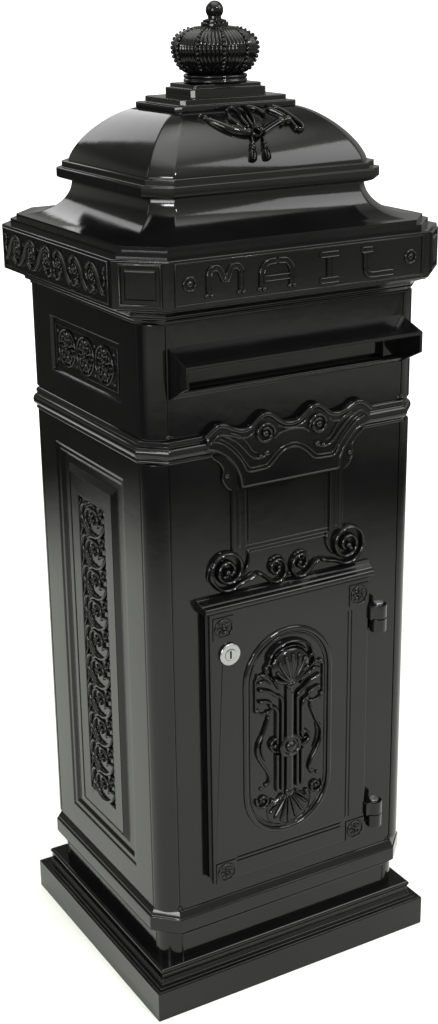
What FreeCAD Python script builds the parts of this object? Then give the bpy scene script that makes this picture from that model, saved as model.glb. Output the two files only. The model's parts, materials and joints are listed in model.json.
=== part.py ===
"""Free-standing cast-aluminium street letterbox, as an assembly of castings, hinges, lock and fixings.

Millimetres. +Z is up, the front faces -Y, and +X is to the right of somebody facing the front. The origin
is the middle of the footprint, on the ground. Every sub-part is one STEP file, parts/NODE.step.
"""
import FreeCAD, Part
import math
import os

V = FreeCAD.Vector

# ---------------------------------------------------------------- driving dimensions
# plans are (width along X, depth along Y, corner cut)
PLINTH_PLAN = (345.0, 305.0)
STEP_PLAN = (324.4, 283.0)
NECK_PLAN = (302.4, 261.8)
BODY_PLAN = (312.0, 271.4, 20.4)
FRIEZE_PLAN = (367.4, 326.0, 39.0)
CORNICE_LOW_PLAN = (351.4, 307.4, 34.2)
CORNICE_TOP_PLAN = (338.4, 298.4, 30.6)
SKIRT_FOOT_PLAN = (327.0, 287.0, 28.0)
SKIRT_NECK_PLAN = (243.0, 204.0, 18.0)
EAVE_PLAN = (269.0, 229.6, 23.0)
EAVE_STEP_PLAN = (258.2, 221.0, 20.7)
DOME_FOOT_PLAN = (247.2, 208.0, 18.4)
DOME_TOP_PLAN = (137.8, 91.0, 8.0)

# heights of the stack
PLINTH_TOP = 34.0
STEP_FOOT = 36.4
STEP_TOP = 53.5
NECK_STRAIGHT_TOP = 79.0
BAND_FOOT = 90.0
BAND_FACE_TOP = 107.0
LOWER_FOOT = 114.7
LOWER_TOP = 608.0
UPPER_FOOT = 632.0
UPPER_TOP = 743.0
FRIEZE_FOOT = 760.0
FRIEZE_TOP = 805.8
CORNICE_LOW_TOP = 811.4
CORNICE_TOP = 815.6
SKIRT_TOP = 850.0
EAVE_TOP = 862.6
EAVE_STEP_TOP = 869.0
DOME_TOP = 921.0
CAP_TOP = 944.0

# steps of the finial's pedestal: plan and the height of its top
CAP_STEPS = (((137.8, 91.0, 6.0), 926.5), ((121.0, 80.0, 5.0), 932.0), ((85.8, 57.8, 4.0), 940.0),
             ((78.0, 52.0, 3.5), CAP_TOP))

# finial
RING_R = 29.5
RING_BEAD_R = 2.1
CROWN_FOOT = CAP_TOP + 4 * RING_BEAD_R
CROWN_WIDEST = 977.6
CROWN_TOP = 997.4
CROWN_CORE_R = 10.0
CROWN_SWELL = 31.7
CROWN_DROP = 30.0
CROWN_RISE = 19.2
BALL_R = 8.7
BALL_Z = 1011.7
BALL_NECK_TOP = 1006.2

# casting walls
PANEL = 7.0
COLUMN_WALL = 8.0
FRIEZE_WALL = 11.0
SHELL = 6.0
JOINT_GROOVE = 1.2

# sunk panels on the sides and the back: half width, height range
CHANNEL_FRAME = (77.5, (144.5, 581.0))
RAISED_FIELD = (48.5, (167.5, 555.5))
SCROLL_STRIP = (30.0, (190.0, 534.0))
SCROLL_DEPTH = 3.4
UPPER_SIDE_FRAME = (79.0, (658.0, 716.0))
LOWER_REAR_FRAME = (98.0, (144.5, 581.0))
UPPER_REAR_FRAME = (98.0, (658.0, 716.0))
REAR_SUNK = 3.0

# door
DOOR_X = (-101.0, 91.0)
DOOR_Z = (142.0, 450.4)
DOOR_FRONT = 148.7
DOOR_PLATE = 5.0
DOOR_GAP = 0.5
APERTURE_X = (-93.0, 83.0)
APERTURE_Z = (150.0, 444.0)
SPIGOT_CLEAR = 2.0
SPIGOT_WALL = 4.0
SPIGOT_DEPTH = 12.7
SEAL_WIDTH = 7.0
LOCK_ROOM = 16.0

# medallion rim on the door
RIM_X = -9.5
RIM_Z = (180.0, 417.5)
RIM_HALF_WIDTH = 54.5
RIM_WIDTH = 6.0
RIM_PROUD = 3.0

# rosette blocks and drip ledge
BLOCK_X = (-86.0, 78.0)
BLOCK_Z = (153.5, 433.0)
BLOCK_HALF = 12.0
BLOCK_PROUD = 1.2
LEDGE_X = (-111.0, 99.0)
LEDGE_Z = (451.6, 464.6)

# door hinges
HINGE_X = 104.0
HINGE_Y = -148.0
HINGE_BARREL_R = 9.0
HINGE_PIN_R = 3.0
HINGE_CLEAR = 0.05
HINGE_FEET_Z = (151.0, 386.0)
HINGE_KNUCKLE = 15.0
HINGE_PLAY = 0.5

# cam lock
LOCK_X = -79.5
LOCK_Z = 403.5
LOCK_FACE_R = 11.8
LOCK_THREAD_R = 9.4
LOCK_PLUG_R = 6.2
LOCK_CLEAR = 0.05
CAM_LENGTH = 28.0
CAM_THICK = 3.0
CAM_HEAD_R = 8.0
CAM_SQUARE = 3.0

# letter slot, hood and flap
SLOT_HALF = 112.0
SLOT_Z = (680.0, 706.0)
HOOD_HALF = 134.0
HOOD_TOP = 720.0
HOOD_LIP_TOP = 709.0
HOOD_LIP_FOOT = 688.0
HOOD_FOOT = 671.0
HOOD_REACH = 35.0
HOOD_WALL = 3.0
FLAP_HALF = 117.5
FLAP_FOOT = 677.0
FLAP_PLATE = 2.2
FLAP_GAP = 0.4
FLAP_AXIS_Z = 714.0
FLAP_AXIS_IN = 4.2
FLAP_BARREL_R = 3.2
FLAP_PIN_R = 2.0
FLAP_CLEAR = 0.05
SILL_FOOT = 671.0
CHUTE_HALF = 108.0
CHUTE_FOOT = 640.0
CHUTE_BEND = 668.6
CHUTE_END = 622.0
CHUTE_REACH = 74.0
BAFFLE_Y = -68.0
BAFFLE_FOOT = 706.0
BAFFLE_FLANGE = 20.0

# letter tray
TRAY_PLAN = (256.0, 206.0)
TRAY_Z = (120.0, 136.0)
TRAY_SHEET = 2.0
RAIL_HALF_LENGTH = 95.0
RAIL_SHELF = 24.0
RAIL_SHEET = 2.6
RAIL_TOP = 140.0

# fixings
ANCHOR_SPACING = (240.0, 200.0)
ANCHOR_R = 6.0
FLOOR_PLATE = 8.0
TIE_ROD_XY = (131.0, 111.0)
TIE_ROD_R = 4.0
ROOF_ROD_R = 5.0
ROOF_ROD_Z = (802.0, 990.0)
DECK_SKIN = 4.6
HOLE_CLEAR = 0.1

FRONT = BODY_PLAN[1] / 2
SIDE = BODY_PLAN[0] / 2
PANEL_X = SIDE - BODY_PLAN[2]
PANEL_Y = FRONT - BODY_PLAN[2]
INNER_FRONT = FRONT - PANEL


# ---------------------------------------------------------------- helpers
def polygon_face(points):
    """A flat face inside a closed outline of 3-D points."""
    corners = [V(*p) for p in points]
    return Part.Face(Part.makePolygon(corners + corners[:1]))


def extruded(points, direction):
    return polygon_face(points).extrude(V(*direction))


def block(x, y, z):
    """A box between two limits on each axis."""
    return Part.makeBox(x[1] - x[0], y[1] - y[0], z[1] - z[0], V(x[0], y[0], z[0]))


def rod(radius, start, end):
    """A round bar between two points."""
    a = V(*start)
    b = V(*end)
    return Part.makeCylinder(radius, (b - a).Length, a, b - a)


def fused(shapes):
    """One solid from touching or overlapping ones, without the seams between them."""
    whole = shapes[0].multiFuse(shapes[1:]) if len(shapes) > 1 else shapes[0]
    return whole.removeSplitter()


def grown(plan, offset):
    """An octagonal plan offset outward by the same distance on all eight sides."""
    width, depth, cut = plan
    return (width + 2 * offset, depth + 2 * offset, cut + offset * (2 - math.sqrt(2)))


def blended(low, high, t):
    """A plan part of the way from one plan to another."""
    return tuple(a + (b - a) * t for a, b in zip(low, high))


def octagon(plan, z):
    """The closed outline of a rectangle with cut corners."""
    w, d, c = plan[0] / 2, plan[1] / 2, plan[2]
    points = [(w, -d + c), (w, d - c), (w - c, d), (-w + c, d),
              (-w, d - c), (-w, -d + c), (-w + c, -d), (w - c, -d)]
    corners = [V(x, y, z) for x, y in points]
    return Part.makePolygon(corners + corners[:1])


def stacked(sections):
    """A solid through octagonal plans at rising heights, straight between neighbours."""
    return Part.makeLoft([octagon(plan, z) for plan, z in sections], True, True)


def prism(plan, z):
    return stacked([(plan, z[0]), (plan, z[1])])


def rectangle(plan, z):
    w, d = plan[0] / 2, plan[1] / 2
    corners = [V(w, -d, z), V(w, d, z), V(-w, d, z), V(-w, -d, z)]
    return Part.makePolygon(corners + corners[:1])


def square_stack(plan, profile):
    """A solid through rectangles: the profile lists (offset from the plan, height)."""
    rings = [rectangle((plan[0] + 2 * o, plan[1] + 2 * o), z) for o, z in profile]
    return Part.makeLoft(rings, True, True)


def moulding(plan, profile):
    """A solid octagonal moulding: the profile lists (offset from the plan, height)."""
    return stacked([(grown(plan, o), z) for o, z in profile])


def arc_profile(centre, radii, angles, steps):
    """Points of an ellipse arc as (offset, height), from one angle to another in degrees."""
    points = []
    for i in range(steps + 1):
        a = math.radians(angles[0] + (angles[1] - angles[0]) * i / steps)
        points.append((centre[0] + radii[0] * math.cos(a), centre[1] + radii[1] * math.sin(a)))
    return points


def rounded_prism(plan, radius, z):
    """A rectangle with round corners, extruded between two heights."""
    box = block((-plan[0] / 2, plan[0] / 2), (-plan[1] / 2, plan[1] / 2), z)
    uprights = [e for e in box.Edges if abs(e.Vertexes[0].Z - e.Vertexes[1].Z) > 1]
    return box.makeFillet(radius, uprights)


def mirrored_x(shape):
    return shape.mirror(V(0, 0, 0), V(1, 0, 0))


def mirrored_y(shape):
    return shape.mirror(V(0, 0, 0), V(0, 1, 0))


# ---------------------------------------------------------------- base
def base_plinth():
    """Square-cornered foot: a block, two fine steps and a second step with a sunk face."""
    foot = square_stack(PLINTH_PLAN, [(0, 0), (0, PLINTH_TOP)])
    fine_low = square_stack(PLINTH_PLAN, [(-2.2, PLINTH_TOP), (-2.2, PLINTH_TOP + 1.2)])
    fine_top = square_stack(PLINTH_PLAN, [(-6.0, PLINTH_TOP + 1.2), (-6.0, STEP_FOOT)])
    step = square_stack(STEP_PLAN, [(0, STEP_FOOT), (0, STEP_FOOT + 2.6), (-1.4, STEP_FOOT + 3.6),
                                    (-1.4, STEP_TOP - 5.4), (0, STEP_TOP - 4.4), (0, STEP_TOP - 1.8),
                                    (-1.8, STEP_TOP)])
    cavity = square_stack(PLINTH_PLAN, [(-10, 0), (-10, PLINTH_TOP - 6)])
    throat = square_stack(NECK_PLAN, [(-9, PLINTH_TOP - 6), (-9, STEP_TOP)])
    return fused([foot, fine_low, fine_top, step]).cut(cavity).cut(throat)


def floor_plate():
    """Ground plate inside the plinth, with four anchor holes and four blind tie-rod holes."""
    plate = square_stack(PLINTH_PLAN, [(-10.5, 0), (-10.5, FLOOR_PLATE)])
    for sx in (-1, 1):
        for sy in (-1, 1):
            x, y = sx * ANCHOR_SPACING[0] / 2, sy * ANCHOR_SPACING[1] / 2
            plate = plate.cut(rod(ANCHOR_R, (x, y, -1), (x, y, FLOOR_PLATE + 1)))
            x, y = sx * TIE_ROD_XY[0], sy * TIE_ROD_XY[1]
            plate = plate.cut(rod(TIE_ROD_R + HOLE_CLEAR, (x, y, 1), (x, y, FLOOR_PLATE + 1)))
    return plate


def base_neck():
    """Recessed neck under the base band, with round corners between joint grooves and a cove on top."""
    neck = rounded_prism(NECK_PLAN, BODY_PLAN[2], (STEP_TOP, BAND_FOOT))
    cove = moulding(NECK_PLAN + (BODY_PLAN[2],),
                    [(10.4 - o, z) for o, z in arc_profile((0, NECK_STRAIGHT_TOP), (10.4, 11.0), (0, 90), 5)])
    neck = fused([neck, cove])
    groove = JOINT_GROOVE * math.sqrt(2)
    for sx in (-1, 1):
        for sy in (-1, 1):
            for x, y in ((NECK_PLAN[0] / 2 - BODY_PLAN[2], NECK_PLAN[1] / 2),
                         (NECK_PLAN[0] / 2, NECK_PLAN[1] / 2 - BODY_PLAN[2])):
                cutter = block((-groove / 2, groove / 2), (-groove / 2, groove / 2),
                               (STEP_TOP - 1, NECK_STRAIGHT_TOP))
                cutter.rotate(V(0, 0, 0), V(0, 0, 1), 45)
                cutter.translate(V(sx * x, sy * y, 0))
                neck = neck.cut(cutter)
    throat = square_stack(NECK_PLAN, [(-8, STEP_TOP - 1), (-8, BAND_FOOT + 1)])
    return neck.cut(throat)


def base_band():
    """Flat octagonal band with a hollow moulding that rises to the body."""
    band = moulding(BODY_PLAN, [(4.9, BAND_FOOT), (5.7, BAND_FOOT + 0.8), (5.7, BAND_FACE_TOP - 0.8),
                                (4.9, BAND_FACE_TOP), (4.0, BAND_FACE_TOP + 0.8), (3.4, BAND_FACE_TOP + 3.2),
                                (1.8, BAND_FACE_TOP + 5.4), (0.9, LOWER_FOOT)])
    return band.cut(prism(grown(BODY_PLAN, -8.2), (BAND_FOOT - 1, LOWER_FOOT + 1)))


# ---------------------------------------------------------------- body panels
def upright_panel(half_width, z):
    """A front panel: a flat plate on the front plane with small bevels at its two joints."""
    g = JOINT_GROOVE
    outline = [(-half_width, -FRONT + g), (-half_width + g, -FRONT), (half_width - g, -FRONT),
               (half_width, -FRONT + g), (half_width, -INNER_FRONT), (-half_width, -INNER_FRONT)]
    return extruded([(x, y, z[0]) for x, y in outline], (0, 0, z[1] - z[0]))


def turned_to_side(shape, side):
    """A panel built on the front plane, turned and moved to the left (-1) or right (+1) side."""
    turned = shape.copy()
    turned.rotate(V(0, 0, 0), V(0, 0, 1), 90 * side)
    turned.translate(V(side * (SIDE - FRONT), 0, 0))
    return turned


def sunk_frame(half_width, z, depth, flank):
    """The cutter for a sunk panel with sloping edges, on the front plane."""
    top = [(-half_width, z[0]), (half_width, z[0]), (half_width, z[1]), (-half_width, z[1])]
    floor = [(-half_width + flank, z[0] + flank), (half_width - flank, z[0] + flank),
             (half_width - flank, z[1] - flank), (-half_width + flank, z[1] - flank)]
    rings = []
    for outline, y in ((top, -FRONT - 0.01), (floor, -FRONT + depth)):
        corners = [V(px, y, pz) for px, pz in outline]
        rings.append(Part.makePolygon(corners + corners[:1]))
    return Part.makeLoft(rings, True, True)


def framed_side(half_width, z, outer, field, strip):
    """A side panel: sunk moulded channel, raised field and a sunk strip for the scroll relief."""
    margin = 5.0
    panel = upright_panel(half_width, z)
    channel = sunk_frame(outer[0], outer[1], 1.6, 2.0)
    channel = channel.fuse(sunk_frame(outer[0] - margin, (outer[1][0] + margin, outer[1][1] - margin), 4.6, 5.0))
    rise = sunk_frame(field[0], field[1], 4.7, -7.0)
    panel = panel.cut(channel.cut(rise))
    panel = panel.cut(block((-field[0] - 0.01, field[0] + 0.01), (-FRONT - 1, -FRONT + 0.9), field[1]))
    x = (-strip[0], strip[0])
    return panel.cut(block(x, (-FRONT - 1, -FRONT + SCROLL_DEPTH), strip[1]))


def lower_front_panel():
    panel = upright_panel(PANEL_X, (LOWER_FOOT, LOWER_TOP))
    return panel.cut(block(APERTURE_X, (-FRONT - 1, -INNER_FRONT + 1), APERTURE_Z))


def lower_side_panel():
    return framed_side(PANEL_Y, (LOWER_FOOT, LOWER_TOP), CHANNEL_FRAME, RAISED_FIELD, SCROLL_STRIP)


def lower_rear_panel():
    panel = upright_panel(PANEL_X, (LOWER_FOOT, LOWER_TOP))
    return mirrored_y(panel.cut(sunk_frame(*LOWER_REAR_FRAME, REAR_SUNK, 4.0)))


def upper_front_panel():
    panel = upright_panel(PANEL_X, (UPPER_FOOT, UPPER_TOP))
    return panel.cut(block((-SLOT_HALF, SLOT_HALF), (-FRONT - 1, -INNER_FRONT + 1), SLOT_Z))


def upper_side_panel():
    panel = upright_panel(PANEL_Y, (UPPER_FOOT, UPPER_TOP))
    return panel.cut(sunk_frame(*UPPER_SIDE_FRAME, 3.7, 2.4))


def upper_rear_panel():
    panel = upright_panel(PANEL_X, (UPPER_FOOT, UPPER_TOP))
    return mirrored_y(panel.cut(sunk_frame(*UPPER_REAR_FRAME, REAR_SUNK, 2.4)))


def corner_column(z, sx, sy):
    """A quarter-round hollow column that joins two panels."""
    outer = rod(BODY_PLAN[2], (PANEL_X, -PANEL_Y, z[0]), (PANEL_X, -PANEL_Y, z[1]))
    inner = rod(BODY_PLAN[2] - COLUMN_WALL, (PANEL_X, -PANEL_Y, z[0]), (PANEL_X, -PANEL_Y, z[1]))
    quarter = block((PANEL_X, SIDE + 1), (-FRONT - 1, -PANEL_Y), z)
    column = outer.cut(inner).common(quarter)
    if sx < 0:
        column = mirrored_x(column)
    if sy > 0:
        column = mirrored_y(column)
    return column


# ---------------------------------------------------------------- bands and cornice
def mid_band():
    """Band between the lower and upper body: fillet, half-round and fillet."""
    low = [(0.2, LOWER_TOP), (3.2, LOWER_TOP + 0.4), (3.2, LOWER_TOP + 3.2), (1.6, LOWER_TOP + 4.2)]
    middle = arc_profile((1.6, 618.6), (4.6, 6.2), (-75, 75), 8)
    top = [(1.6, 625.8), (2.8, 626.6), (2.8, UPPER_FOOT - 2.0), (0.2, UPPER_FOOT)]
    band = moulding(BODY_PLAN, low + middle + top)
    return band.cut(prism(grown(BODY_PLAN, -8.2), (LOWER_TOP - 1, UPPER_FOOT + 1)))


def under_cornice():
    """Stepped moulding that carries the frieze out over the body."""
    band = moulding(BODY_PLAN, [(0.2, UPPER_TOP), (3.0, UPPER_TOP + 0.4), (3.0, UPPER_TOP + 3.4),
                                (4.4, UPPER_TOP + 4.2), (8.0, UPPER_TOP + 5.4), (8.0, UPPER_TOP + 8.4),
                                (12.0, UPPER_TOP + 11.6), (19.0, UPPER_TOP + 14.4),
                                (23.0, UPPER_TOP + 15.2), (23.0, FRIEZE_FOOT)])
    return band.cut(prism(grown(BODY_PLAN, -8.2), (UPPER_TOP - 1, FRIEZE_FOOT + 1)))


def frieze():
    """Tall octagonal frieze with a small bevel at its foot and its top edge."""
    ring = moulding(FRIEZE_PLAN, [(-1.0, FRIEZE_FOOT), (0, FRIEZE_FOOT + 1.0), (0, FRIEZE_TOP - 0.8),
                                  (-0.8, FRIEZE_TOP)])
    return ring.cut(prism(grown(FRIEZE_PLAN, -FRIEZE_WALL), (FRIEZE_FOOT - 1, FRIEZE_TOP + 1)))


def cornice_deck():
    """Stepped lid of the body, with bosses for the tie rods and a hole for the roof rod."""
    low = prism(CORNICE_LOW_PLAN, (FRIEZE_TOP, CORNICE_LOW_TOP))
    top = prism(CORNICE_TOP_PLAN, (CORNICE_LOW_TOP, CORNICE_TOP))
    deck = fused([low, top])
    deck = deck.cut(prism(grown(CORNICE_TOP_PLAN, -8), (FRIEZE_TOP - 1, CORNICE_TOP - DECK_SKIN)))
    bosses = []
    for sx in (-1, 1):
        for sy in (-1, 1):
            x, y = sx * TIE_ROD_XY[0], sy * TIE_ROD_XY[1]
            bosses.append(rod(9, (x, y, FRIEZE_TOP - 9), (x, y, CORNICE_TOP - DECK_SKIN)))
    deck = fused([deck] + bosses)
    for sx in (-1, 1):
        for sy in (-1, 1):
            x, y = sx * TIE_ROD_XY[0], sy * TIE_ROD_XY[1]
            deck = deck.cut(rod(TIE_ROD_R + HOLE_CLEAR, (x, y, FRIEZE_TOP - 10), (x, y, CORNICE_TOP - 6)))
    return deck.cut(rod(ROOF_ROD_R + HOLE_CLEAR, (0, 0, FRIEZE_TOP), (0, 0, CORNICE_TOP + 1)))


# ---------------------------------------------------------------- roof
def skirt_sections(offset):
    """The hollow-curved sides of the lower roof, as octagonal plans at rising heights."""
    sections = [(grown(SKIRT_FOOT_PLAN, offset), CORNICE_TOP)]
    steps = 8
    for i in range(steps + 1):
        a = math.radians(90 * i / steps)
        plan = blended(SKIRT_FOOT_PLAN, SKIRT_NECK_PLAN, math.sin(a))
        z = CORNICE_TOP + 1.6 + (SKIRT_TOP - CORNICE_TOP - 1.6) * (1 - math.cos(a))
        sections.append((grown(plan, offset), z))
    return sections


def roof_skirt():
    shell = stacked(skirt_sections(0))
    return shell.cut(stacked(skirt_sections(-SHELL)))


def eave():
    """Upper eave: a cove, a flat edge and a small step that carries the dome."""
    cove = stacked([(SKIRT_NECK_PLAN, SKIRT_TOP), (grown(SKIRT_NECK_PLAN, 6), SKIRT_TOP + 0.6),
                    (grown(EAVE_PLAN, -3.4), SKIRT_TOP + 1.8), (EAVE_PLAN, SKIRT_TOP + 3.4),
                    (EAVE_PLAN, EAVE_TOP - 0.6), (grown(EAVE_PLAN, -0.6), EAVE_TOP)])
    step = stacked([(EAVE_STEP_PLAN, EAVE_TOP), (EAVE_STEP_PLAN, EAVE_STEP_TOP - 0.6),
                    (grown(EAVE_STEP_PLAN, -0.6), EAVE_STEP_TOP)])
    ring = fused([cove, step])
    return ring.cut(prism(grown(SKIRT_NECK_PLAN, -SHELL), (SKIRT_TOP - 1, EAVE_STEP_TOP + 1)))


def dome_sections(offset, z_top):
    """The swelling sides of the dome, as octagonal plans at rising heights."""
    swell = 2 / 1.45
    steps = 9
    sections = []
    for i in range(steps + 1):
        a = math.radians(90 * i / steps)
        plan = blended(DOME_FOOT_PLAN, DOME_TOP_PLAN, 1 - math.cos(a) ** swell if i < steps else 1.0)
        z = EAVE_STEP_TOP + (z_top - EAVE_STEP_TOP) * math.sin(a) ** swell
        sections.append((grown(plan, offset), z))
    return sections


def dome():
    shell = stacked(dome_sections(0, DOME_TOP))
    shell = shell.cut(stacked(dome_sections(-SHELL, DOME_TOP - SHELL)))
    return shell.cut(rod(ROOF_ROD_R + HOLE_CLEAR, (0, 0, DOME_TOP - 2 * SHELL), (0, 0, DOME_TOP + 1)))


def stepped_cap():
    """Four-step rectangular pedestal for the finial."""
    steps = []
    foot = DOME_TOP
    for plan, top in CAP_STEPS:
        steps.append(prism(plan, (foot, top)))
        foot = top
    return fused(steps).cut(rod(ROOF_ROD_R + HOLE_CLEAR, (0, 0, DOME_TOP - 1), (0, 0, CAP_TOP + 1)))


def turned(points):
    """A turned solid from an outline of (radius, height) points that starts and ends on the axis."""
    edges = []
    for a, b in zip(points, points[1:]):
        edges.append(Part.LineSegment(V(a[0], 0, a[1]), V(b[0], 0, b[1])).toShape())
    closing = Part.LineSegment(V(points[-1][0], 0, points[-1][1]), V(points[0][0], 0, points[0][1]))
    edges.append(closing.toShape())
    return Part.Face(Part.Wire(edges)).revolve(V(0, 0, 0), V(0, 0, 1), 360)


def finial_ring():
    """Double ring at the foot of the crown."""
    outline = [(0, CAP_TOP), (RING_R, CAP_TOP)]
    for rise in (RING_BEAD_R, 3 * RING_BEAD_R):
        outline += arc_profile((RING_R, CAP_TOP + rise), (RING_BEAD_R, RING_BEAD_R), (-60, 60), 6)
    outline += [(RING_R, CROWN_FOOT), (0, CROWN_FOOT)]
    ring = turned(outline)
    return ring.cut(rod(ROOF_ROD_R + HOLE_CLEAR, (0, 0, CAP_TOP - 1), (0, 0, CROWN_FOOT + 1)))


def finial_crown():
    """Bulbous crown: it swells from its foot to its widest line, then draws in to the neck."""
    start = -math.degrees(math.asin((CROWN_WIDEST - CROWN_FOOT) / CROWN_DROP))
    centre = (CROWN_CORE_R, CROWN_WIDEST)
    outline = [(0, CROWN_FOOT)]
    outline += arc_profile(centre, (CROWN_SWELL, CROWN_DROP), (start, -8), 6)
    outline += arc_profile(centre, (CROWN_SWELL, CROWN_RISE), (6, 84), 6)
    outline += [(11.0, CROWN_TOP), (0, CROWN_TOP)]
    crown = turned(outline)
    return crown.cut(rod(ROOF_ROD_R + HOLE_CLEAR, (0, 0, CROWN_FOOT - 1), (0, 0, ROOF_ROD_Z[1] + 1)))


def finial_ball():
    """Two small rings and a ball."""
    t = CROWN_TOP
    rings = [(0, t), (13.5, t), (13.5, t + 1.8), (11.0, t + 3.0), (11.6, t + 3.8), (11.6, t + 5.0),
             (6.6, t + 6.4), (6.6, BALL_NECK_TOP), (0, BALL_NECK_TOP)]
    return fused([turned(rings), Part.makeSphere(BALL_R, V(0, 0, BALL_Z))])


def roof_rod():
    """Long bolt from under the deck up into the crown; it clamps the whole roof."""
    return rod(ROOF_ROD_R, (0, 0, ROOF_ROD_Z[0]), (0, 0, ROOF_ROD_Z[1]))


def hexagon_nut(across_flats, z, hole_r, x=0.0, y=0.0):
    radius = across_flats / math.sqrt(3)
    corners = [(x + radius * math.cos(math.radians(60 * i)), y + radius * math.sin(math.radians(60 * i)), z[0])
               for i in range(6)]
    nut = extruded(corners, (0, 0, z[1] - z[0]))
    return nut.cut(rod(hole_r, (x, y, z[0] - 1), (x, y, z[1] + 1)))


def roof_nut():
    return hexagon_nut(17.0, (CORNICE_TOP - DECK_SKIN - 8.0, CORNICE_TOP - DECK_SKIN), ROOF_ROD_R + HOLE_CLEAR)


# ---------------------------------------------------------------- tie rods
def tie_rods():
    """Four long rods inside the corners that clamp the castings between floor plate and deck."""
    rods = []
    for sx in (-1, 1):
        for sy in (-1, 1):
            x, y = sx * TIE_ROD_XY[0], sy * TIE_ROD_XY[1]
            rods.append(rod(TIE_ROD_R, (x, y, 1.2), (x, y, CORNICE_TOP - 6.4)))
    return Part.makeCompound(rods)


def tie_rod_nuts():
    """Lock nuts on the tie rods: four on the floor plate, four under the deck bosses."""
    nuts = []
    for sx in (-1, 1):
        for sy in (-1, 1):
            x, y = sx * TIE_ROD_XY[0], sy * TIE_ROD_XY[1]
            for z in ((FLOOR_PLATE, FLOOR_PLATE + 6.5), (FRIEZE_TOP - 15.5, FRIEZE_TOP - 9)):
                nuts.append(hexagon_nut(13.0, z, TIE_ROD_R + HOLE_CLEAR, x, y))
    return Part.makeCompound(nuts)


# ---------------------------------------------------------------- letter slot
def slot_hood():
    """Weather hood over the slot: a sloping top and two cheeks, open in front and below."""
    y0, y1 = -FRONT, -FRONT - HOOD_REACH
    outer = [(y0, HOOD_TOP), (y1, HOOD_LIP_TOP), (y1, HOOD_LIP_FOOT), (y0, HOOD_FOOT)]
    shell = extruded([(-HOOD_HALF, y, z) for y, z in outer], (2 * HOOD_HALF, 0, 0))
    drop = HOOD_WALL
    inner = [(y0 + 1, HOOD_TOP - drop), (y1 - 1, HOOD_LIP_TOP - drop - 0.6), (y1 - 1, HOOD_FOOT - 1),
             (y0 + 1, HOOD_FOOT - 1)]
    half = HOOD_HALF - HOOD_WALL
    return shell.cut(extruded([(-half, y, z) for y, z in inner], (2 * half, 0, 0)))


def slot_sill():
    """Two-step rail under the slot, between the cheeks."""
    profile = [(0, 0), (2.4, 0.4), (2.4, 3.2), (4.2, 3.6), (5.8, 5.0), (5.8, 6.6), (4.4, 8.2), (0, 8.8)]
    outline = [(-FRONT - out, SILL_FOOT + rise) for out, rise in profile]
    half = HOOD_HALF - HOOD_WALL - 0.2
    return extruded([(-half, y, z) for y, z in outline], (2 * half, 0, 0))


FLAP_AXIS_Y = -(INNER_FRONT - FLAP_AXIS_IN)


def letter_flap():
    """Inward-swinging flap: plate, hinge barrel and a closing weight along its lower edge."""
    y0 = -INNER_FRONT + FLAP_GAP
    plate = block((-FLAP_HALF, FLAP_HALF), (y0, y0 + FLAP_PLATE), (FLAP_FOOT, FLAP_AXIS_Z))
    weight = block((-FLAP_HALF + 6, FLAP_HALF - 6), (y0 + FLAP_PLATE, y0 + 14.2), (FLAP_FOOT, FLAP_FOOT + 6))
    start, end = (-FLAP_HALF, FLAP_AXIS_Y, FLAP_AXIS_Z), (FLAP_HALF, FLAP_AXIS_Y, FLAP_AXIS_Z)
    flap = fused([plate, weight, rod(FLAP_BARREL_R, start, end)])
    return flap.cut(rod(FLAP_PIN_R + FLAP_CLEAR, start, end))


def flap_pin():
    reach = FLAP_HALF + 9.0
    return rod(FLAP_PIN_R, (-reach, FLAP_AXIS_Y, FLAP_AXIS_Z), (reach, FLAP_AXIS_Y, FLAP_AXIS_Z))


def flap_lugs():
    """Two ears on the inside of the panel that hold the flap's pin."""
    x0 = FLAP_HALF + 1.5
    ear = block((x0, x0 + 6), (-INNER_FRONT, -INNER_FRONT + 9), (FLAP_AXIS_Z - 6, FLAP_AXIS_Z + 6))
    ear = ear.cut(rod(FLAP_PIN_R + FLAP_CLEAR, (x0 - 1, FLAP_AXIS_Y, FLAP_AXIS_Z),
                      (x0 + 7, FLAP_AXIS_Y, FLAP_AXIS_Z)))
    return Part.makeCompound([ear, mirrored_x(ear)])


def letter_chute():
    """Bent sheet that leads letters down and inward, and keeps hands out."""
    f = -INNER_FRONT
    outline = [(f, CHUTE_FOOT), (f + 2, CHUTE_FOOT), (f + 2, CHUTE_BEND), (f + CHUTE_REACH, CHUTE_END),
               (f + CHUTE_REACH + 1, CHUTE_END + 1.7), (f + 1, CHUTE_BEND + 3), (f, CHUTE_BEND + 3)]
    return extruded([(-CHUTE_HALF, y, z) for y, z in outline], (2 * CHUTE_HALF, 0, 0))


def reach_baffle():
    """Plate hung from the deck behind the flap, against fishing through the slot."""
    x = (-CHUTE_HALF, CHUTE_HALF)
    under_deck = CORNICE_TOP - DECK_SKIN
    upright = block(x, (BAFFLE_Y, BAFFLE_Y + 2), (BAFFLE_FOOT, under_deck))
    flange = block(x, (BAFFLE_Y + 2, BAFFLE_Y + BAFFLE_FLANGE), (under_deck - 2, under_deck))
    return fused([upright, flange])


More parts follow.
